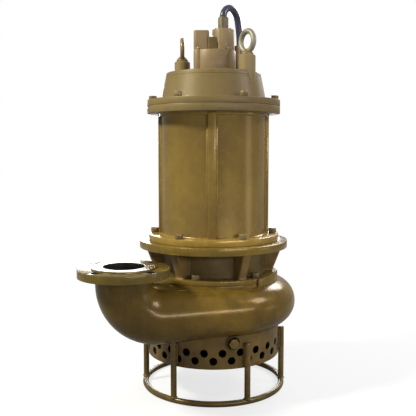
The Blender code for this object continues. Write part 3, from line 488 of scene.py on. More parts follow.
# Stand ring and legs: a hoop of round bar and six uprights, welded on, then sprayed with
# the same glossy ochre enamel as the castings
def enamel(
    name, light, deep, rough=0.25, grain=0.20, rust=0.01, metal=0.25, coat=0.18, darker_below=(0.0, 0.1),
    lathe=0.0, outlet_shade_span=None,
):
    """Sprayed ochre enamel: a cloudy film with runs and orange peel, over the grain of the
    casting or the fine rings of the lathe, with rust spots. The colour darkens towards the
    bottom in cloudy patches, fading out between two given heights, and painted shade
    darkens it towards low x, fading out between two given x."""
    finish = Finish(name)
    low_tone = (0.052, 0.038, 0.016)
    outlet_shade_tone = (0.058, 0.040, 0.012)
    rust_brown = (0.115, 0.042, 0.014)
    runny = 0.12
    clouds = finish.noise(6.5, 4, 0.55)
    mottle = finish.noise(48, 4, 0.6)
    runs = finish.noise(1, 3, 0.5, (55, 55, 3.2))
    rings = finish.noise(1, 2, 0.5, (4, 4, 330))
    film = clouds * (0.80 - runny - lathe) + mottle * 0.2 + runs * runny + rings * lathe
    coloured = finish.blend(film.between(0.36, 0.62), deep, light)
    # Darker towards the bottom, in cloudy patches that fade out between the two heights
    low_down = 1 - finish.along("Z").between(*darker_below)
    low_darkening = low_down * (finish.noise(15, 4, 0.6).between(0.34, 0.66) * 0.4 + 0.2)
    coloured = finish.blend(low_darkening, coloured, low_tone)
    # Painted shade: darker towards low x, where the outlet side of a piece lies in shade
    if outlet_shade_span:
        outlet_shade_share = 1 - finish.along("X").between(*outlet_shade_span)
        coloured = finish.blend(outlet_shade_share * 0.56, coloured, outlet_shade_tone)
    spots = finish.noise(30, 5, 0.7, offset=3.1).between(0.665 - rust * 0.9, 0.74 - rust * 0.6)
    spots = spots * finish.noise(7, 2, 0.5, offset=7.7).between(0.5, 0.62)
    coloured = finish.blend(spots * min(0.8, rust * 10), coloured, rust_brown)
    skin = finish.noise(130, 3, 0.6) + rings * (lathe * 1.5)
    peel = finish.bump(finish.noise(420, 2), depth=0.00025, strength=0.20)
    return finish.surface({
        "Base Color": coloured,
        "Metallic": metal - spots * (metal * min(1, rust * 10)),
        "Roughness": mottle * 0.12 + spots * min(0.35, rust * 5) + (rough - 0.05),
        "Specular IOR Level": 0.20,
        "Coat Weight": coat - spots * min(coat, rust * 3),
        "Coat Roughness": 0.07,
        "Normal": finish.bump(skin, depth=0.0011, strength=grain, below=peel),
    })


def turned(outline, steps=128, closed=True):
    """A shape turned on the lathe: the outline in (radius, height) spun once round."""
    shape = bmesh.new()
    corners = [shape.verts.new((radius, 0, height)) for radius, height in outline]
    pairs = list(zip(corners, corners[1:])) + ([(corners[-1], corners[0])] if closed else [])
    lines = [shape.edges.new(pair) for pair in pairs]
    bmesh.ops.spin(
        shape, geom=corners + lines, cent=(0, 0, 0), axis=(0, 0, 1), angle=tau, steps=steps,
        use_merge=True,
    )
    return cleaned(shape)


def arc(centre, radius, start_deg, end_deg, steps):
    """Points along an arc of an outline."""
    degs = [start_deg + (end_deg - start_deg) * step / steps for step in range(steps + 1)]
    angles = [radians(deg) for deg in degs]
    return [(centre[0] + radius * cos(angle), centre[1] + radius * sin(angle)) for angle in angles]


def spaced(count, first_deg, radius=0.0, height=0.0):
    """Places set round the axis, with their own x pointing outwards."""
    degs = [first_deg + 360 * number / count for number in range(count)]
    return [swing(deg) @ shift(radius, 0, height) for deg in degs]


def heights(node):
    """The lowest and the highest level of a CAD node."""
    return [corner.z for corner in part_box(node)]


def weld(length, thickness, ripples):
    """A weld bead lying along x on z = 0, laid in overlapping ripples."""
    bead = bmesh.new()
    width = thickness * 0.5
    start = shift(-length / 2) @ outwards
    bmesh.ops.create_circle(bead, cap_ends=True, segments=10, radius=width, matrix=start)
    rim = bead.edges[:]
    for step in range(1, ripples * 2 + 1):
        rim, verts = grown(bead, rim)
        next_width = thickness * (1.0 if step % 2 else 0.84)
        growth = next_width / width
        centre = sum((vert.co for vert in verts), Vector()) / len(verts)
        bmesh.ops.translate(bead, vec=-centre, verts=verts)
        bmesh.ops.scale(bead, vec=(1, growth, growth), verts=verts)
        bmesh.ops.translate(bead, vec=centre + Vector((length / ripples / 2, 0, 0)), verts=verts)
        width = next_width
    bmesh.ops.edgeloop_fill(bead, edges=rim)
    return bead


outwards = swing(90, "Y")
stand_paint = enamel(
    "stand_enamel", (0.235, 0.160, 0.045), (0.130, 0.086, 0.026),
    rough=0.27, grain=0.35, rust=0.07, metal=0.20, darker_below=(0.0, 0.30),
)
seat_gap = 0.0003
bar_radius = 0.00725
ring_reach = 0.17875
leg_radius = 0.00735
leg_reach = 0.17865
leg_tip = 0.003
leg_foot = 2 * bar_radius + seat_gap
leg_top = heights("stand_leg_1")[1]
legs_first_deg = -21
hoop = turned(arc((ring_reach, bar_radius), bar_radius, 0, 345, 23), 160)
made("stand_hoop", hoop, stand_paint, "stand_ring")
leg_outline = [(0, leg_foot - 0.006), (leg_radius, leg_foot - 0.006)]
leg_outline += arc((leg_radius - leg_tip, leg_top - leg_tip), leg_tip, 0, 90, 4) + [(0, leg_top)]
foot_weld = [(leg_radius - 0.001, leg_foot - 0.005)]
foot_weld += arc((leg_radius + 0.0045, leg_foot + 0.0040), 0.0055, 250, 180, 5)
foot_weld += [(leg_radius - 0.001, leg_foot + 0.006)]
bead_places = [shift(-0.0062, side * 0.0056, leg_top - 0.030) @ outwards for side in (-1, 1)]
for number, place in enumerate(spaced(6, legs_first_deg, leg_reach), 1):
    side_beads = (weld(length=0.052, thickness=0.0030, ripples=15), bead_places)
    leg = joined(turned(leg_outline, 28, False), turned(foot_weld, 28), side_beads)
    made(f"leg_{number}", leg, stand_paint, f"stand_leg_{number}", place=pump @ place)

# Strainer: rolled plate drum with two staggered rows of drilled holes, and a base plate
# with the inlet in its middle, both enamelled and rusting where the legs are welded on.
# The inside of the drum, the top of the plate and the webs are near-black: painted shade.
strainer_radius = 0.171
strainer_wall = 0.003
strainer_inner = strainer_radius - strainer_wall
strainer_low, strainer_high = heights("strainer_drum")
strainer_hole_radius = 0.0095
# The height of each row of holes over the drum's foot, and where its first hole is
strainer_row_degs = {0.039: 4, 0.020: 11.5}
strainer_holes = 24
plate_low = strainer_low + seat_gap
plate_thickness = 0.005
plate_high = plate_low + plate_thickness
inlet_radius = 0.060
inlet_collar = 0.018
strainer_paint = enamel(
    "strainer_enamel", (0.210, 0.138, 0.036), (0.110, 0.070, 0.020),
    rough=0.32, grain=0.45, rust=0.16, metal=0.10, darker_below=(0.0, 0.22),
)


def disc(radius, low, high, sides=48):
    """A plain round slug between two heights."""
    shape = bmesh.new()
    bmesh.ops.create_cone(
        shape, cap_ends=True, segments=sides, radius1=radius, radius2=radius, depth=high - low,
        matrix=shift(z=(low + high) / 2),
    )
    return shape


def sleeve(inner, outer, low, high, steps=144):
    """A plain ring turned on the lathe, or a plain slug where inner is 0."""
    return turned([(inner, low), (outer, low), (outer, high), (inner, high)], steps, inner > 0)


def worked(shape, modifiers):
    """The shape after some modifiers, each given as its kind and its settings."""
    piece = set_out("work", shape)
    for kind, settings in modifiers:
        modifier = piece.modifiers.new(kind, kind)
        for name, value in settings.items():
            setattr(modifier, name, value)
    bpy.context.view_layer.update()
    result = bmesh.new()
    result.from_mesh(piece.evaluated_get(bpy.context.evaluated_depsgraph_get()).to_mesh())
    bpy.data.meshes.remove(piece.data)
    return result


def cut(shape, tool, operation="DIFFERENCE"):
    """The closed shape with the tool cut out of it, by an exact Boolean."""
    cutter = set_out("cutter", tool)
    settings = {"operation": operation, "solver": "EXACT", "object": cutter}
    result = worked(shape, [("BOOLEAN", settings)])
    bpy.data.meshes.remove(cutter.data)
    return result


def fin(outline, thickness):
    """A flat plate standing on edge in the plane of x and z."""
    shape = bmesh.new()
    corners = [shape.verts.new((x, -thickness / 2, z)) for x, z in outline]
    face = shape.faces.new(corners)
    raised = bmesh.ops.extrude_face_region(shape, geom=[face])["geom"]
    moved = [item for item in raised if isinstance(item, bmesh.types.BMVert)]
    bmesh.ops.translate(shape, vec=(0, thickness, 0), verts=moved)
    bmesh.ops.recalc_face_normals(shape, faces=shape.faces)
    return shape


def strip(near, far, low, high, thickness):
    """A plain upright plate that runs outwards from near to far."""
    return fin([(near, low), (far, low), (far, high), (near, high)], thickness)


def bare_iron(name, light, deep, rough, rust=0.0):
    """Uncoated casting: grainy grey skin, darker pits, a little rust."""
    finish = Finish(name)
    grain = finish.noise(160, 4, 0.65)
    clouds = finish.noise(14, 3)
    coloured = finish.blend((grain * 0.5 + clouds * 0.5).between(0.35, 0.65), deep, light)
    spots = finish.noise(24, 5, 0.7, offset=5.3).between(0.60 - rust, 0.72 - rust)
    rust_brown = (0.13, 0.055, 0.022)
    coloured = finish.blend(spots * 0.7, coloured, rust_brown)
    return finish.surface({
        "Base Color": coloured,
        "Metallic": 0.85 - spots * 0.6,
        "Roughness": grain * 0.2 + spots * 0.25 + (rough - 0.1),
        "Normal": finish.bump(grain, depth=0.0008, strength=0.5),
    })


# Near-black iron as painted shade: inside the strainer, on its webs and under the strainer bolts'
# heads
shade_iron = bare_iron("shade_black_iron", (0.014, 0.012, 0.010), (0.007, 0.006, 0.005), rough=0.60)
drum = sleeve(strainer_inner, strainer_radius, strainer_low, strainer_high + 0.0040)
hole = disc(strainer_hole_radius, strainer_inner - 0.006, strainer_radius + 0.006, 24)
hole_places = [
    place @ outwards
    for height, first_deg in strainer_row_degs.items()
    for place in spaced(strainer_holes, first_deg, 0, strainer_low + height)
]
drum = soften(cut(drum, joined((hole, hole_places))), 0.0005, 1, least_deg=50)
# The drum's inner faces in the near-black iron: painted shade
inside = [(shade_iron, lambda centre: centre.xy.length < strainer_inner + 0.0003)]
made("strainer_shell", drum, strainer_paint, "strainer_drum", others=inside)
base_plate = turned([
    (inlet_radius, plate_low), (strainer_inner - seat_gap, plate_low),
    (strainer_inner - seat_gap, plate_high), (inlet_radius + 0.003, plate_high),
    (inlet_radius + 0.003, plate_low + inlet_collar),
    (inlet_radius, plate_low + inlet_collar),
], 96)
base_plate = soften(base_plate, 0.0008)
# The plate's upper side in the near-black iron: painted shade
upper_side = [(shade_iron, lambda centre: centre.z > plate_low + 0.001)]
made("strainer_floor", base_plate, strainer_paint, "strainer_base_plate", others=upper_side)
web_high = heights("suction_cover")[0] - seat_gap
web_plate = strip(inlet_radius + 0.004, 0.160, plate_high - 0.001, web_high, 0.004)
# The webs wholly in the near-black iron: painted shade
webs = joined((web_plate, spaced(6, legs_first_deg)))
made("strainer_webs", webs, shade_iron, "strainer_base_plate")

# Strainer bolts: four hexagon bolts on round washers, set from the side into the cover
# through the drum, and enamelled with it
strainer_bolts_deg = -92.5
strainer_bolt_height = strainer_high - 0.0125
strainer_washer = 0.0025


def hexagon(across, low, high, chamfer):
    """A hexagon head: a six-sided slug whose corners are turned off at the top."""
    corner = across / 2 / cos(pi / 6)
    cone = [
        (0, low - 0.001), (corner + 0.002, low - 0.001),
        (corner + 0.002, high - chamfer - 0.0012), (across / 2 - chamfer * 0.2, high),
        (0, high),
    ]
    slug = cut(disc(corner, low, high, 6), turned(cone, 48, False), "INTERSECT")
    return soften(slug, 0.0003, 1, least_deg=40)


def bolt(across, head_height, radius, length, washer_radius, washer, rim=0):
    """A hexagon bolt with its washer; z = 0 is under the head."""
    shank = soften(disc(radius, -length, 0.001, 20), 0.0008, 1)
    washer_outline = [
        (0, -washer), (washer_radius, -washer), (washer_radius, 0),
        (washer_radius - 0.0006, 0.0006 * rim), (washer_radius - 0.0020, 0.0006 * rim),
        (washer_radius - 0.0026, -0.0004 * rim), (0, -0.0004 * rim),
    ]
    bolt_head = hexagon(across, 0, head_height, 0.0014)
    return joined(bolt_head, shank, turned(washer_outline, 40, False))


strainer_bolt = bolt(
    across=0.0225, head_height=0.010, radius=0.0058, length=0.028, washer_radius=0.0180,
    washer=strainer_washer, rim=3,
)
strainer_seat = strainer_radius + seat_gap + strainer_washer
strainer_spots = spaced(4, strainer_bolts_deg, strainer_seat, strainer_bolt_height)
# Washers and shanks under the heads in the near-black iron: painted shadow in the gap round each
# head
under_head = [(shade_iron, lambda centre: centre.z < 0)]
for number, place in enumerate(strainer_spots, 1):
    made(
        f"side_bolt_{number}", strainer_bolt.copy(), strainer_paint, f"strainer_bolt_{number}",
        pump @ place @ outwards, others=under_head,
    )
strainer_bolt.free()

# Suction cover: one casting of hard chrome iron, a rim behind the strainer, the wear face
# under the vanes and the flared eye between them
cover_low, cover_high = heights("suction_cover")
cover_rim_radius = 0.1673
cover_rim_top = cover_low + 0.024
cover_boss_radius = 0.1057
eye_radius = 0.052
mouth_radius = 0.082
chrome_iron = bare_iron(
    "chrome_iron_skin", (0.26, 0.25, 0.24), (0.14, 0.135, 0.13), rough=0.46, rust=0.06
)
flare = [
    (
        mouth_radius - (mouth_radius - eye_radius) * sin(radians(deg)),
        cover_low + (cover_high - cover_low) / 2 * (1 - cos(radians(deg))),
    )
    for deg in range(0, 91, 9)
]
cover_outline = [flare[0], (cover_rim_radius, cover_low), (cover_rim_radius, cover_rim_top)]
cover_outline += [(cover_boss_radius, cover_rim_top), (cover_boss_radius, cover_high)]
cover_outline += [(eye_radius, cover_high)] + flare[:0:-1]
cover = soften(turned(cover_outline, 112), 0.0012, 2, least_deg=50)
made("suction_plate", cover, chrome_iron, "suction_cover")

# Agitator and its nut: a long hub up through the eye with three blades under it, cast in
# the same hard iron, held up on the shaft end by a hexagon nut
hub_low, hub_high = heights("agitator")
hub_radius = 0.019
hub_bore = 0.0128
blade_root = hub_bore + 0.003
blade_reach = 0.046
blade_low = hub_low + 0.004
blade_top = blade_low + 0.028
blade = fin([
    (blade_root, blade_low), (blade_reach, blade_low), (blade_reach, blade_top - 0.014),
    (blade_reach - 0.006, blade_top - 0.005), (blade_reach - 0.014, blade_top),
    (blade_root, blade_top),
], 0.007)
hub = soften(sleeve(hub_bore, hub_radius, hub_low, hub_high, 64), 0.0012)
agitator = joined(hub, (soften(blade, 0.0022, 3), spaced(3, 0)))
made("stirrer", agitator, chrome_iron, "agitator", body="rotor")
nut_low, nut_high = heights("agitator_nut")
nut_bore = disc(hub_bore, nut_low - 0.01, nut_high + 0.01)
nut = cut(hexagon(0.036, nut_low, nut_high, 0.0020), nut_bore)
plain_steel = bare_iron(
    "plain_steel", (0.42, 0.41, 0.39), (0.27, 0.26, 0.25), rough=0.38, rust=0.03
)
made("stirrer_nut", nut, plain_steel, "agitator_nut", body="rotor")

# Volute: the iron spiral casting. The round passage grows once round the drum, leaves on a
# tangent and turns up in an elbow. Sand-cast in one piece, so every inner corner is filleted.
casing_low = 0.1661
spiral_height = 0.2261
neck_low = 0.2766
neck_high = 0.2886
drum_radius = 0.135
chamber_radius = 0.106
drum_inner = chamber_radius - 0.008
spiral_start_deg = 225
spiral_turn_deg = 315
spiral_reaches = (0.106, 0.156)
spiral_radii = (0.040, 0.0575)
# The spiral's thin toe: how far before its start, its reach and its radius
spiral_toe = [(38, 0.070, 0.012), (28, 0.082, 0.024), (18, 0.092, 0.032), (9, 0.100, 0.037)]
passage_wall = 0.0125
outlet_reach = 0.266
outlet_side = spiral_reaches[1]
elbow_radius = 0.082
outlet_run = outlet_reach - elbow_radius
pipe_radius = 0.065
pipe_bore = 0.0475
pipe_top = 0.3310
pipe_inner = pipe_radius - 0.008
flange_low = 0.3285
spiral_steps = 72
elbow_steps = 18
tube_sides = 64
outer_from = 0.2
inner_from = 0.62
# The fillet where the elbow leaves the spiral: a line of places, each with its thickness
saddle_line = [
    (-0.196, -0.122, 0.287, 0.014), (-0.176, -0.114, 0.279, 0.019),
    (-0.150, -0.103, 0.270, 0.021), (-0.122, -0.108, 0.262, 0.022),
    (-0.093, -0.128, 0.259, 0.020), (-0.060, -0.146, 0.257, 0.016),
]
# The volute darkens towards the outlet, from x = 0.10 m down to x = -0.16 m: painted shade, for the
# shadow of the discharge flange and the darker elbow
volute_paint = enamel(
    "volute_enamel", (0.285, 0.176, 0.026), (0.142, 0.088, 0.017),
    rough=0.22, grain=0.18, rust=0.03, metal=0.18, coat=0.10, darker_below=(0.165, 0.275),
    outlet_shade_span=(-0.16, 0.10),
)
# Near-black bare iron for the passage and the discharge flange's bore and holes: the iron there is
# unpainted, and its near-black tone is painted shade inside them
bore_shade_iron = bare_iron("bore_iron_shade", (0.030, 0.027, 0.024), (0.014, 0.013, 0.012), rough=0.62)


def part_way(ends, share):
    """The number that lies a share of the way between two."""
    return ends[0] + (ends[1] - ends[0]) * share


def section(centre, out, up, ahead, radius):
    """The place and size of one round section of a passage."""
    axes = Matrix((out, up, ahead)).transposed().to_4x4()
    return Matrix.Translation(centre) @ axes @ Matrix.Diagonal((radius, radius, radius, 1))


def spiral_sections():
    """Sections of the spiral, from its thin toe to where the passage leaves it."""
    stations = spiral_toe[:]
    for step in range(spiral_steps + 1):
        share = step / spiral_steps
        growth = 1 - (1 - share) ** 3
        reach, radius = part_way(spiral_reaches, growth), part_way(spiral_radii, growth)
        stations.append((-spiral_turn_deg * share, reach, radius))
    sections = []
    for turn, reach, radius in stations:
        angle = radians(spiral_start_deg + turn)
        out = Vector((cos(angle), sin(angle), 0))
        ahead = Vector((sin(angle), -cos(angle), 0))
        centre = out * reach + Vector((0, 0, spiral_height))
        sections.append(section(centre, out, Vector((0, 0, 1)), ahead, radius))
    return sections


def outlet_sections(radii, first_share):
    """Sections of the straight run, the elbow and the upright pipe."""
    side = Vector((0, -1, 0))
    total = outlet_run + elbow_radius * pi / 2
    sections = []
    for share in (first_share, first_share + (1 - first_share) / 2, 1):
        radius = part_way(radii, outlet_run * share / total)
        centre = Vector((-outlet_run * share, -outlet_side, spiral_height))
        sections.append(section(centre, side, Vector((0, 0, 1)), Vector((-1, 0, 0)), radius))
    for step in range(1, elbow_steps + 1):
        bend = pi / 2 * step / elbow_steps
        lift = spiral_height + elbow_radius * (1 - cos(bend))
        centre = Vector((-outlet_run - elbow_radius * sin(bend), -outlet_side, lift))
        radius = part_way(radii, (outlet_run + elbow_radius * bend) / total)
        up = Vector((sin(bend), 0, cos(bend)))
        ahead = Vector((-cos(bend), 0, sin(bend)))
        sections.append(section(centre, side, up, ahead, radius))
    at_top = Vector((-outlet_reach, -outlet_side, pipe_top))
    sections.append(section(at_top, side, Vector((1, 0, 0)), Vector((0, 0, 1)), radii[1]))
    return sections


def carried(sections, sides):
    """A closed tube: a round rim carried from each section to the next, capped at the ends."""
    shape = bmesh.new()
    bmesh.ops.create_circle(shape, cap_ends=True, segments=sides, radius=1, matrix=sections[0])
    rim = shape.edges[:]
    for near, far in zip(sections, sections[1:]):
        rim, verts = grown(shape, rim)
        bmesh.ops.transform(shape, matrix=far @ near.inverted(), verts=verts)
    bmesh.ops.edgeloop_fill(shape, edges=rim)
    bmesh.ops.recalc_face_normals(shape, faces=shape.faces)
    return shape


def cast(shape, voxel, rounds):
    """The shape as a sand casting: fused into one skin, its corners softened all over."""
    fuse = ("REMESH", {"mode": "VOXEL", "voxel_size": voxel})
    smooth = ("SMOOTH", {"factor": 0.5, "iterations": rounds})
    return worked(shape, [fuse, smooth])


outer = spiral_sections() + outlet_sections((spiral_radii[1], pipe_radius), outer_from)
inner = outlet_sections((spiral_radii[1] - passage_wall, pipe_bore), inner_from)
tube = carried(outer + inner[::-1], tube_sides)
drum_wall = turned([
    (drum_inner, casing_low), (drum_radius - 0.002, casing_low),
    (drum_radius, casing_low + 0.002), (drum_radius, neck_low - 0.012),
    (drum_radius + 0.012, neck_low + 0.002), (drum_inner, neck_low + 0.002),
])
gusset = fin([
    (pipe_inner, flange_low + 0.002), (pipe_radius + 0.022, flange_low + 0.002),
    (pipe_radius + 0.020, flange_low - 0.004), (pipe_radius, flange_low - 0.026),
    (pipe_inner, flange_low - 0.026),
], 0.012)
saddle_spots = []
for near, far in zip(saddle_line, saddle_line[1:]):
    for step in range(8):
        x, y, z, size = (part_way(ends, step / 8) for ends in zip(near, far))
        saddle_spots.append(shift(x, y, z) @ Matrix.Diagonal((size, size, size, 1)))
ball = bmesh.new()
bmesh.ops.create_icosphere(ball, subdivisions=3, radius=1)
outlet_place = shift(-outlet_reach, -outlet_side)
volute = joined(tube, drum_wall, (gusset, [outlet_place]), (ball, saddle_spots))
volute = cast(volute, voxel=0.0028, rounds=14)
volute = cut(volute, disc(chamber_radius, casing_low - 0.01, neck_low + 0.02, 96))
elbow_top = spiral_height + 0.055
pipe_reach = 0.053
run_reach = 0.052
run_start = -0.08


def in_passage(centre):
    """Inside the outlet pipe, the elbow or the chamber, where the iron is bare and its near-black
    finish is painted shade.
    """
    across_pipe = Vector((centre.x + outlet_reach, centre.y + outlet_side))
    in_pipe = centre.z > elbow_top and across_pipe.length < pipe_reach
    in_chamber = centre.to_2d().length < chamber_radius + 0.001
    bend = Vector((centre.x + outlet_run, centre.z - spiral_height - elbow_radius))
    from_bend = Vector((abs(bend.length - elbow_radius), centre.y + outlet_side))
    in_elbow = centre.x < -outlet_run and bend.y < 0 and from_bend.length < run_reach
    across_run = Vector((centre.y + outlet_side, centre.z - spiral_height))
    in_run = -outlet_run <= centre.x < run_start and across_run.length < run_reach
    return in_pipe or in_chamber or in_elbow or in_run


# The passage and the chamber in the near-black iron: painted shade
bare_shaded_passage = [(bore_shade_iron, in_passage)]
made("volute_body", volute, volute_paint, "volute_casing", smooth_deg=60, others=bare_shaded_passage)

# Volute flanges: the discharge flange with its raised face and four bolt holes, and the
# neck flange under the bracket with a thin ramped pad, machined crisp on the same casting
flange_radius = 0.105
flange_high = 0.347
raised_radius = 0.074
raised_high = 0.3505
groove_pitch = 0.0042
groove_half = 0.0006
outlet_hole_radius = 0.009
outlet_holes = spaced(4, first_deg=33, radius=0.085)
flange_paint = enamel(
    "flange_enamel", (0.185, 0.132, 0.030), (0.120, 0.084, 0.020),
    rust=0.02, metal=0.30, darker_below=(0.0, 0.30),
)
flange_outline = [(pipe_bore, flange_low), (flange_radius, flange_low)]
flange_outline += [(flange_radius, flange_high), (raised_radius, flange_high)]
flange_outline += [(raised_radius, raised_high)]
for groove in range(5):
    lip = raised_radius - 0.005 - groove * groove_pitch
    flange_outline += [(lip, raised_high), (lip - groove_half, raised_high - 0.0005)]
    flange_outline += [(lip - 2 * groove_half, raised_high)]
flange_outline += [(pipe_bore, raised_high)]
flange_hole = disc(outlet_hole_radius, flange_low - 0.01, flange_high + 0.01, 32)
flange = cut(turned(flange_outline), joined((flange_hole, outlet_holes)))
flange = soften(flange, 0.0011, 2, least_deg=60)


def in_flange_hole(centre):
    """On the wall of the bore or of a bolt hole."""
    flat = centre.to_2d()
    from_hole = min((flat - place.translation.to_2d()).length for place in outlet_holes)
    return flat.length < pipe_bore + 0.0004 or from_hole < outlet_hole_radius + 0.0002


# The flange's bore and bolt holes in the near-black iron: painted shade
made(
    "discharge_flange", flange, flange_paint, "volute_casing", place=pump @ outlet_place,
    others=[(bore_shade_iron, in_flange_hole)],
)
neck_radius = 0.165
pad_inner = 0.150
pad_outer = 0.1698
pad_face = neck_radius + 0.0008
pad_low = neck_low - 0.010
pad_high = 0.315
pad_ends_deg = (-68, -34)
pad_slope = 0.10
pad_middle_height = 0.3058
rim_paint = enamel("rim_enamel", (0.275, 0.185, 0.036), (0.190, 0.126, 0.026), rust=0.015)
neck = soften(sleeve(chamber_radius, neck_radius, neck_low - 0.006, neck_high), 0.0012)
made("neck_flange", neck, volute_paint, "volute_casing")


def trimmed(shape, point, away):
    """The closed shape with all that lies beyond a plane taken off, and closed again."""
    everything = shape.verts[:] + shape.edges[:] + shape.faces[:]
    bmesh.ops.bisect_plane(shape, geom=everything, plane_co=point, plane_no=away, clear_outer=True)
    bmesh.ops.holes_fill(shape, edges=[edge for edge in shape.edges if edge.is_boundary])
    return shape


pad_outline = [(pad_inner, pad_low), (pad_outer, pad_low), (pad_outer, pad_high)]
pad_outline += [(pad_face, pad_high), (pad_face, neck_high - 0.0001)]
pad_outline += [(pad_inner, neck_high - 0.0001)]
neck_pad = turned(pad_outline, 180)
for side, end_deg in zip((-1, 1), pad_ends_deg):
    trimmed(neck_pad, (0, 0, 0), swing(end_deg).to_3x3() @ Vector((0, side, 0)))
ramp = swing(sum(pad_ends_deg) / 2).to_3x3()
ramp_point = ramp @ Vector((neck_radius, 0, pad_middle_height))
trimmed(neck_pad, ramp_point, ramp @ Vector((0, -pad_slope, 1)))
made("neck_pad", soften(neck_pad, 0.0014), rim_paint, "volute_casing")

# Bracket between pump and motor: foot flange, oil room and bearing seat in one core, six
# ribs and the wide head flange; cast iron, enamelled. The core inside its six pockets takes
# a darker copy of the enamel: painted shade under the head flange.
bracket_low, bracket_high = heights("pump_bracket")
foot_top = bracket_low + 0.012
head_low = bracket_high - 0.0184
foot_inner_radius = neck_radius - 0.006
oil_radius = 0.098
oil_top = bracket_low + 0.050
core_radius = 0.128
head_radius = 0.191
head_inner_radius = head_radius - 0.008
seat_radius = 0.0503
seat_low = bracket_high - 0.03265
shaft_hole_radius = 0.036
rib_foot = 0.153
rib_head = 0.178
rib_root = core_radius - 0.006
# A darker, duller copy of the rib enamel for the core in the pockets: painted shade
bracket_shade_paint = enamel(
    "bracket_shade_enamel", (0.185, 0.130, 0.047), (0.100, 0.070, 0.028),
    rough=0.52, grain=0.5, rust=0.05, metal=0.05, coat=0.03,
)
rib_paint = enamel(
    "rib_enamel", (0.265, 0.174, 0.054), (0.155, 0.098, 0.031),
    rough=0.40, grain=0.4, rust=0.04, metal=0.12, coat=0.08,
)
core = turned([
    (oil_radius, bracket_low + 0.001), (foot_inner_radius, bracket_low + 0.001),
    (foot_inner_radius, foot_top - 0.001), (core_radius, foot_top - 0.001),
    (core_radius, head_low + 0.001), (head_inner_radius, head_low + 0.001),
    (head_inner_radius, bracket_high - 0.003), (seat_radius, bracket_high - 0.003),
    (seat_radius, seat_low), (shaft_hole_radius, seat_low), (shaft_hole_radius, oil_top),
    (oil_radius, oil_top),
])
rib = fin([
    (rib_root, foot_top - 0.004), (rib_foot, foot_top - 0.004), (rib_foot, foot_top),
    (rib_head, head_low), (rib_head, head_low + 0.004), (rib_root, head_low + 0.004),
], 0.022)
core = cast(joined(core, (rib, spaced(6, legs_first_deg))), voxel=0.0026, rounds=6)


def on_rib(centre):
    """Out on a rib, between the two flanges."""
    between_flanges = foot_top + 0.002 < centre.z < head_low - 0.002
    return between_flanges and centre.xy.length > core_radius + 0.006


bright_ribs = [(rib_paint, on_rib)]
made("bracket_core", core, bracket_shade_paint, "pump_bracket", smooth_deg=60, others=bright_ribs)
foot_rim = soften(sleeve(0.140, neck_radius, bracket_low, foot_top), 0.0013)
head_rim = soften(sleeve(0.140, head_radius, head_low, bracket_high), 0.0013)
made("bracket_rims", joined(foot_rim, head_rim), rim_paint, "pump_bracket")

# Casing, frame and cover bolts: three rings of six hexagon bolts that hold the bracket on
# the pump, the motor on the bracket and the top cover on the motor, painted over
row_head_height = 0.0125
bolt_paint = enamel(
    "bolt_enamel", (0.255, 0.190, 0.085), (0.155, 0.105, 0.048),
    rough=0.34, grain=0.3, rust=0.10, metal=0.20, darker_below=(0.0, 0.30),
)
row_first_degs = {"casing_bolt": -5, "frame_bolt": legs_first_deg, "cover_bolt": legs_first_deg}
for row, first_deg in row_first_degs.items():
    low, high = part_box(f"{row}_1")
    circle = (pump.inverted() @ ((low + high) / 2)).to_2d().length
    seat = high.z - row_head_height
    row_bolt = bolt(
        across=0.018, head_height=row_head_height, radius=0.0058, length=seat - low.z,
        washer_radius=0.0118, washer=0.0001,
    )
    for number, place in enumerate(spaced(6, first_deg, circle, seat), 1):
        node = f"{row}_{number}"
        at = pump @ place @ swing(11 * number)
        made(f"{node}_head", row_bolt.copy(), bolt_paint, node, at)
    row_bolt.free()

# Motor frame: a thick iron tube, machined flanges at both ends, four long ribs set on it
# between weld beads and a narrow step under the top flange, in smooth glossy enamel
motor_low, motor_high = heights("motor_frame")
motor_foot = motor_low + 0.0153
motor_head = motor_high - 0.0182
motor_ledge = motor_high - 0.0175
motor_radius = 0.1335
motor_root = motor_radius + 0.004
motor_step_radius = motor_radius + 0.0058
motor_foot_radius = 0.168
motor_head_radius = 0.170
motor_bore = 0.122
motor_ledge_radius = 0.128
rib_inner = motor_radius - 0.004
rib_outer = 0.142
rib_width = 0.020
bead_outer = motor_radius + 0.0030
bead_width = 0.009
motor_paint = enamel(
    "motor_enamel", (0.300, 0.202, 0.048), (0.225, 0.148, 0.042), grain=0.09, rust=0.004
)
dome_paint = enamel(
    "dome_enamel", (0.220, 0.161, 0.064), (0.170, 0.124, 0.052),
    rough=0.42, grain=0.14, rust=0.006, metal=0.06, coat=0.05, lathe=0.07,
)
foot_paint = enamel("foot_enamel", (0.460, 0.310, 0.068), (0.350, 0.232, 0.050))
frame_outline = [(motor_bore, motor_low), (motor_foot_radius, motor_low)]
frame_outline += [(motor_foot_radius, motor_foot), (motor_root, motor_foot)]
frame_outline += arc((motor_root, motor_foot + 0.004), 0.004, 270, 180, 4)[1:]
frame_outline += [
    (motor_radius, motor_head - 0.0085), (motor_step_radius, motor_head - 0.0078),
    (motor_step_radius, motor_head), (motor_head_radius, motor_head),
    (motor_head_radius, motor_high), (motor_ledge_radius, motor_high),
    (motor_ledge_radius, motor_ledge), (motor_bore, motor_ledge),
]
tube_shape = soften(turned(frame_outline, 160), 0.0012, 2, least_deg=40)
rib_ends = (motor_foot - 0.002, motor_head + 0.005)
long_rib = soften(strip(rib_inner, rib_outer, *rib_ends, rib_width), 0.0028, 3)
rib_beads = soften(strip(rib_inner, bead_outer, *rib_ends, rib_width + bead_width), 0.0036, 1)
rib_places = spaced(4, first_deg=-20)
motor_shell = joined(tube_shape, (long_rib, rib_places), (rib_beads, rib_places))
ends = [
    (foot_paint, lambda centre: centre.z < motor_foot + 0.001),
    (dome_paint, lambda centre: centre.z > motor_head - 0.0004),
]
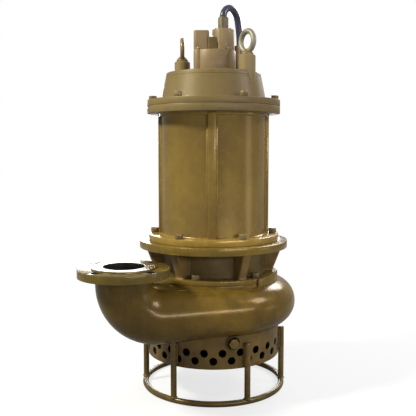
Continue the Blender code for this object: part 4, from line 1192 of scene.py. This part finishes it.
made("motor_shell", motor_shell, motor_paint, "motor_frame", others=ends)

# Top cover: flange and dome in one iron casting, turned and enamelled, with a scribed line
# under the dome's rounded shoulder and two tall round lugs for the eyebolts
cover_bottom, lug_top = heights("top_cover")
cover_flange = cover_bottom + 0.0154
dome_top = cover_flange + 0.0683
dome_inner = 0.110
dome_foot_radius = 0.133
dome_foot_fillet = 0.0048
dome_top_radius = 0.121
dome_shoulder = 0.0045
lug_reach = 0.1055
lug_radius = 0.0208
lug_chamfer = 0.0018
lug_paint = enamel(
    "lug_enamel", (0.295, 0.222, 0.105), (0.225, 0.168, 0.080),
    rough=0.42, grain=0.14, metal=0.06, coat=0.05,
)
dome_outline = [(dome_inner, cover_bottom), (motor_head_radius, cover_bottom)]
dome_outline += [(motor_head_radius, cover_flange), (dome_foot_radius + 0.005, cover_flange)]
fillet_centre = (dome_foot_radius + dome_foot_fillet, cover_flange + dome_foot_fillet)
dome_outline += arc(fillet_centre, dome_foot_fillet, 270, 185, 4)[1:]
dome_outline += [
    (dome_top_radius + 0.0018, dome_top - 0.0125),
    (dome_top_radius + 0.0005, dome_top - 0.0118),
    (dome_top_radius + 0.0005, dome_top - 0.0108),
    (dome_top_radius + 0.0010, dome_top - 0.0100),
]
shoulder_centre = (dome_top_radius - dome_shoulder, dome_top - dome_shoulder)
dome_outline += arc(shoulder_centre, dome_shoulder, 0, 90, 5)
dome_outline += [(0, dome_top), (0, dome_top - 0.017), (dome_inner, dome_top - 0.017)]
dome = soften(turned(dome_outline, 160), 0.0008, 2, least_deg=60)
lug_outline = [(0, dome_top - 0.032), (lug_radius, dome_top - 0.032)]
lug_outline += [(lug_radius, lug_top - lug_chamfer), (lug_radius - lug_chamfer, lug_top)]
lug = turned(lug_outline + [(0, lug_top)], 56, False)
lug_places = spaced(2, first_deg=-57, radius=lug_reach)
dome = joined(dome, (lug, lug_places))
above_dome = [(lug_paint, lambda centre: centre.z > dome_top + 0.0002)]
made("cover_dome", dome, dome_paint, "top_cover", others=above_dome)

# Eyebolts: forged steel lifting rings, screwed down to their collars in the lugs. The right
# ring is zinc-plated under a thin overspray of the enamel, the left one is painted over.
ring_radius = 0.0245
ring_rise = 0.0325
stem_radius = 0.0074
collar_foot = 0.0155
collar_top = 0.010
collar_height = 0.011
neck_top = 0.0065
stem_top = collar_height + 0.003


def plated(name, light, deep, rough):
    """Dull zinc plating under a yellowish overspray that lies thicker in patches."""
    finish = Finish(name)
    clouds = finish.noise(38, 4, 0.6)
    stain = finish.noise(90, 3, 0.6, offset=2.2).between(0.55, 0.72)
    coloured = finish.blend(clouds.between(0.38, 0.62), deep, light)
    overspray = (0.17, 0.13, 0.06)
    coloured = finish.blend(stain * 0.5, coloured, overspray)
    return finish.surface({
        "Base Color": coloured,
        "Metallic": 0.55 - stain * 0.3,
        "Roughness": clouds * 0.15 + (rough - 0.08),
        "Specular IOR Level": 0.4,
        "Normal": finish.bump(finish.noise(260, 3), depth=0.0006, strength=0.4),
    })


zinc_finish = plated("zinc_plating", (0.36, 0.34, 0.26), (0.25, 0.235, 0.17), rough=0.58)
# How each ring is turned, the radius of its bar and its finish
eyebolts = {
    "eyebolt_right": (17, 0.0068, zinc_finish),
    "eyebolt_left": (-16, 0.0056, bolt_paint),
}
collar = [(0, -0.022), (stem_radius, -0.022), (stem_radius, 0), (collar_foot, 0)]
collar += [(collar_foot, 0.0042)] + arc((collar_foot - 0.0015, 0.0042), 0.0015, 0, 60, 3)
collar += [(collar_top, collar_height), (neck_top, stem_top), (0, stem_top)]
for (name, (eye_deg, bar, ring_finish)), place in zip(eyebolts.items(), lug_places):
    ring = turned(arc((ring_radius, 0), bar, 0, 345, 23), 72)
    ring = joined((ring, [shift(z=ring_rise) @ outwards]))
    at = pump @ shift(z=lug_top + seat_gap) @ shift(*place.translation) @ swing(eye_deg)
    made(f"{name}_forging", ring, ring_finish, name, at)
    made(f"{name}_collar", turned(collar, 40, False), bolt_paint, name, at)

# Junction head: a round base with a screwed ear, a web between the two entries, the plugged
# control entry as a square block and the many-sided gland body beside it, all enamelled
base_low = heights("junction_base")[0]
base_high = heights("control_entry")[0] - seat_gap
base_radius = 0.054
base_place = shift(0.003)
base_screw_reach = 0.0478
head_paint = enamel(
    "head_enamel", (0.320, 0.236, 0.126), (0.235, 0.170, 0.090),
    rough=0.42, rust=0.012, metal=0.05, coat=0.05, lathe=0.07,
)
base = soften(sleeve(0, base_radius, base_low, base_high, 96), 0.0014)
ear = soften(disc(0.0115, base_low, base_high + 0.0015, 40), 0.0010)
ear_place = shift(-0.0385, -0.0290)
base_screw = hexagon(0.0085, base_high - 0.002, base_high + 0.0062, 0.0006)
screw_places = [base_place @ swing(deg) @ shift(base_screw_reach) for deg in (318, 38, 142)]
base_screws = joined((base_screw, [ear_place] + screw_places))
base = joined((base, [base_place]), (ear, [ear_place]))
made("head_base", base, head_paint, "junction_base", place=head)
made("head_screws", base_screws, bolt_paint, "junction_base", head)
# The web takes the bracket's darker enamel: painted shade, as it lies in shadow between the entries
web = soften(block(0.0262, 0.036, 0.0345), 0.0040, 4)
web_place = head @ shift(-0.0017, -0.0055, base_high)
made("head_web", web, bracket_shade_paint, "junction_base", place=web_place)
stay_radius = 0.0072
stay_top = 0.881
stay = soften(disc(stay_radius, dome_top, stay_top, 32), 0.0012)
made("cable_stay", stay, head_paint, place=head @ shift(0.0618, 0.026))
entry_low, entry_high = heights("control_entry")
entry_width = 0.0392
entry = block(entry_width, entry_width, entry_high - entry_low)
uprights = [edge for edge in entry.edges if abs(edge.verts[0].co.z - edge.verts[1].co.z) > 0.01]
entry = soften(rounded(entry, uprights, 0.008, 5), 0.0026, 3, least_deg=50)
made("control_plug", entry, head_paint, "control_entry", place=head @ shift(-0.0307, 0, entry_low))
gland_reach = 0.0248
gland_place = head @ shift(gland_reach)
gland_low, gland_high = heights("gland_body")
gland_top = gland_high - 0.0091
gland_radius = 0.0284
gland_cut = fin([
    (-0.040, gland_low - 0.01), (-0.0138, gland_low - 0.01), (-0.0138, gland_low + 0.0195),
    (-0.040, gland_low + 0.0580),
], 0.080)
gland = cut(sleeve(0, gland_radius, gland_low, gland_top, 16), gland_cut)
gland = soften(gland, 0.0016, 3, least_deg=18)
gland_screw = soften(disc(0.0022, gland_top - 0.001, gland_top + 0.0032, 16), 0.0007)
gland_screws = [swing(deg) @ shift(0.0205) for deg in (-100, -35, 60, 160)]
gland = joined(gland, (gland_screw, gland_screws))
made("gland_housing", gland, head_paint, "gland_body", place=gland_place)
clamp_screw = hexagon(0.0050, 0, 0.0050, 0.0005)
clamp_place = head @ shift(0.0045, -0.004, gland_top - 0.0002)
made("gland_clamp_screw", clamp_screw, plain_steel, None, clamp_place)

# Gland nut: a round brass nut with flats, screwed down on the rubber sleeve round the cable
# and darkened by use
nut_low = gland_top + 0.0002
nut_high = heights("gland_nut")[1]
nut_radius = 0.0132
nut_bore_radius = 0.0090
nut_finish = plated("dull_nut", (0.23, 0.20, 0.12), (0.13, 0.11, 0.065), rough=0.42)
gland_nut = turned([
    (nut_bore_radius, nut_low), (nut_radius - 0.0006, nut_low),
    (nut_radius, nut_low + 0.0012), (nut_radius, nut_high - 0.0035),
    (nut_radius - 0.0020, nut_high), (nut_bore_radius, nut_high),
], 24)
gland_nut = soften(gland_nut, 0.0005, 1, least_deg=40)
made("gland_ring", gland_nut, nut_finish, "gland_nut", gland_place, smooth_deg=12)

# Inside the pump: the CAD solids stay, each with the finish of its own metal: cast and
# laminated iron, ground shaft steel, hard chrome iron, copper windings and carbide faces
core_iron = bare_iron("core_iron_skin", (0.20, 0.20, 0.21), (0.11, 0.11, 0.12), rough=0.45)
shaft_steel = bare_iron("ground_steel", (0.60, 0.60, 0.60), (0.48, 0.48, 0.48), rough=0.26)
seal_carbide = rubber("seal_face", (0.05, 0.05, 0.055), rough=0.22)
bearing_rings = [
    "lower_bearing_outer_ring",
    "lower_bearing_inner_race",
    "upper_bearing_outer_ring",
    "upper_bearing_inner_race",
]
inner_finishes = [
    (core_iron, ["stator_core", "bearing_shield", "rotor_core"]),
    (shaft_steel, ["shaft", *bearing_rings]),
    (chrome_iron, ["impeller", "seal_cover"]),
    (bare_copper, ["winding_lower", "winding_upper"]),
    (seal_carbide, ["seal_stationary_ring", "seal_rotating_ring"]),
]
for finish, nodes in inner_finishes:
    for node in nodes:
        for material_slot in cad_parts[node].material_slots:
            material_slot.material = finish
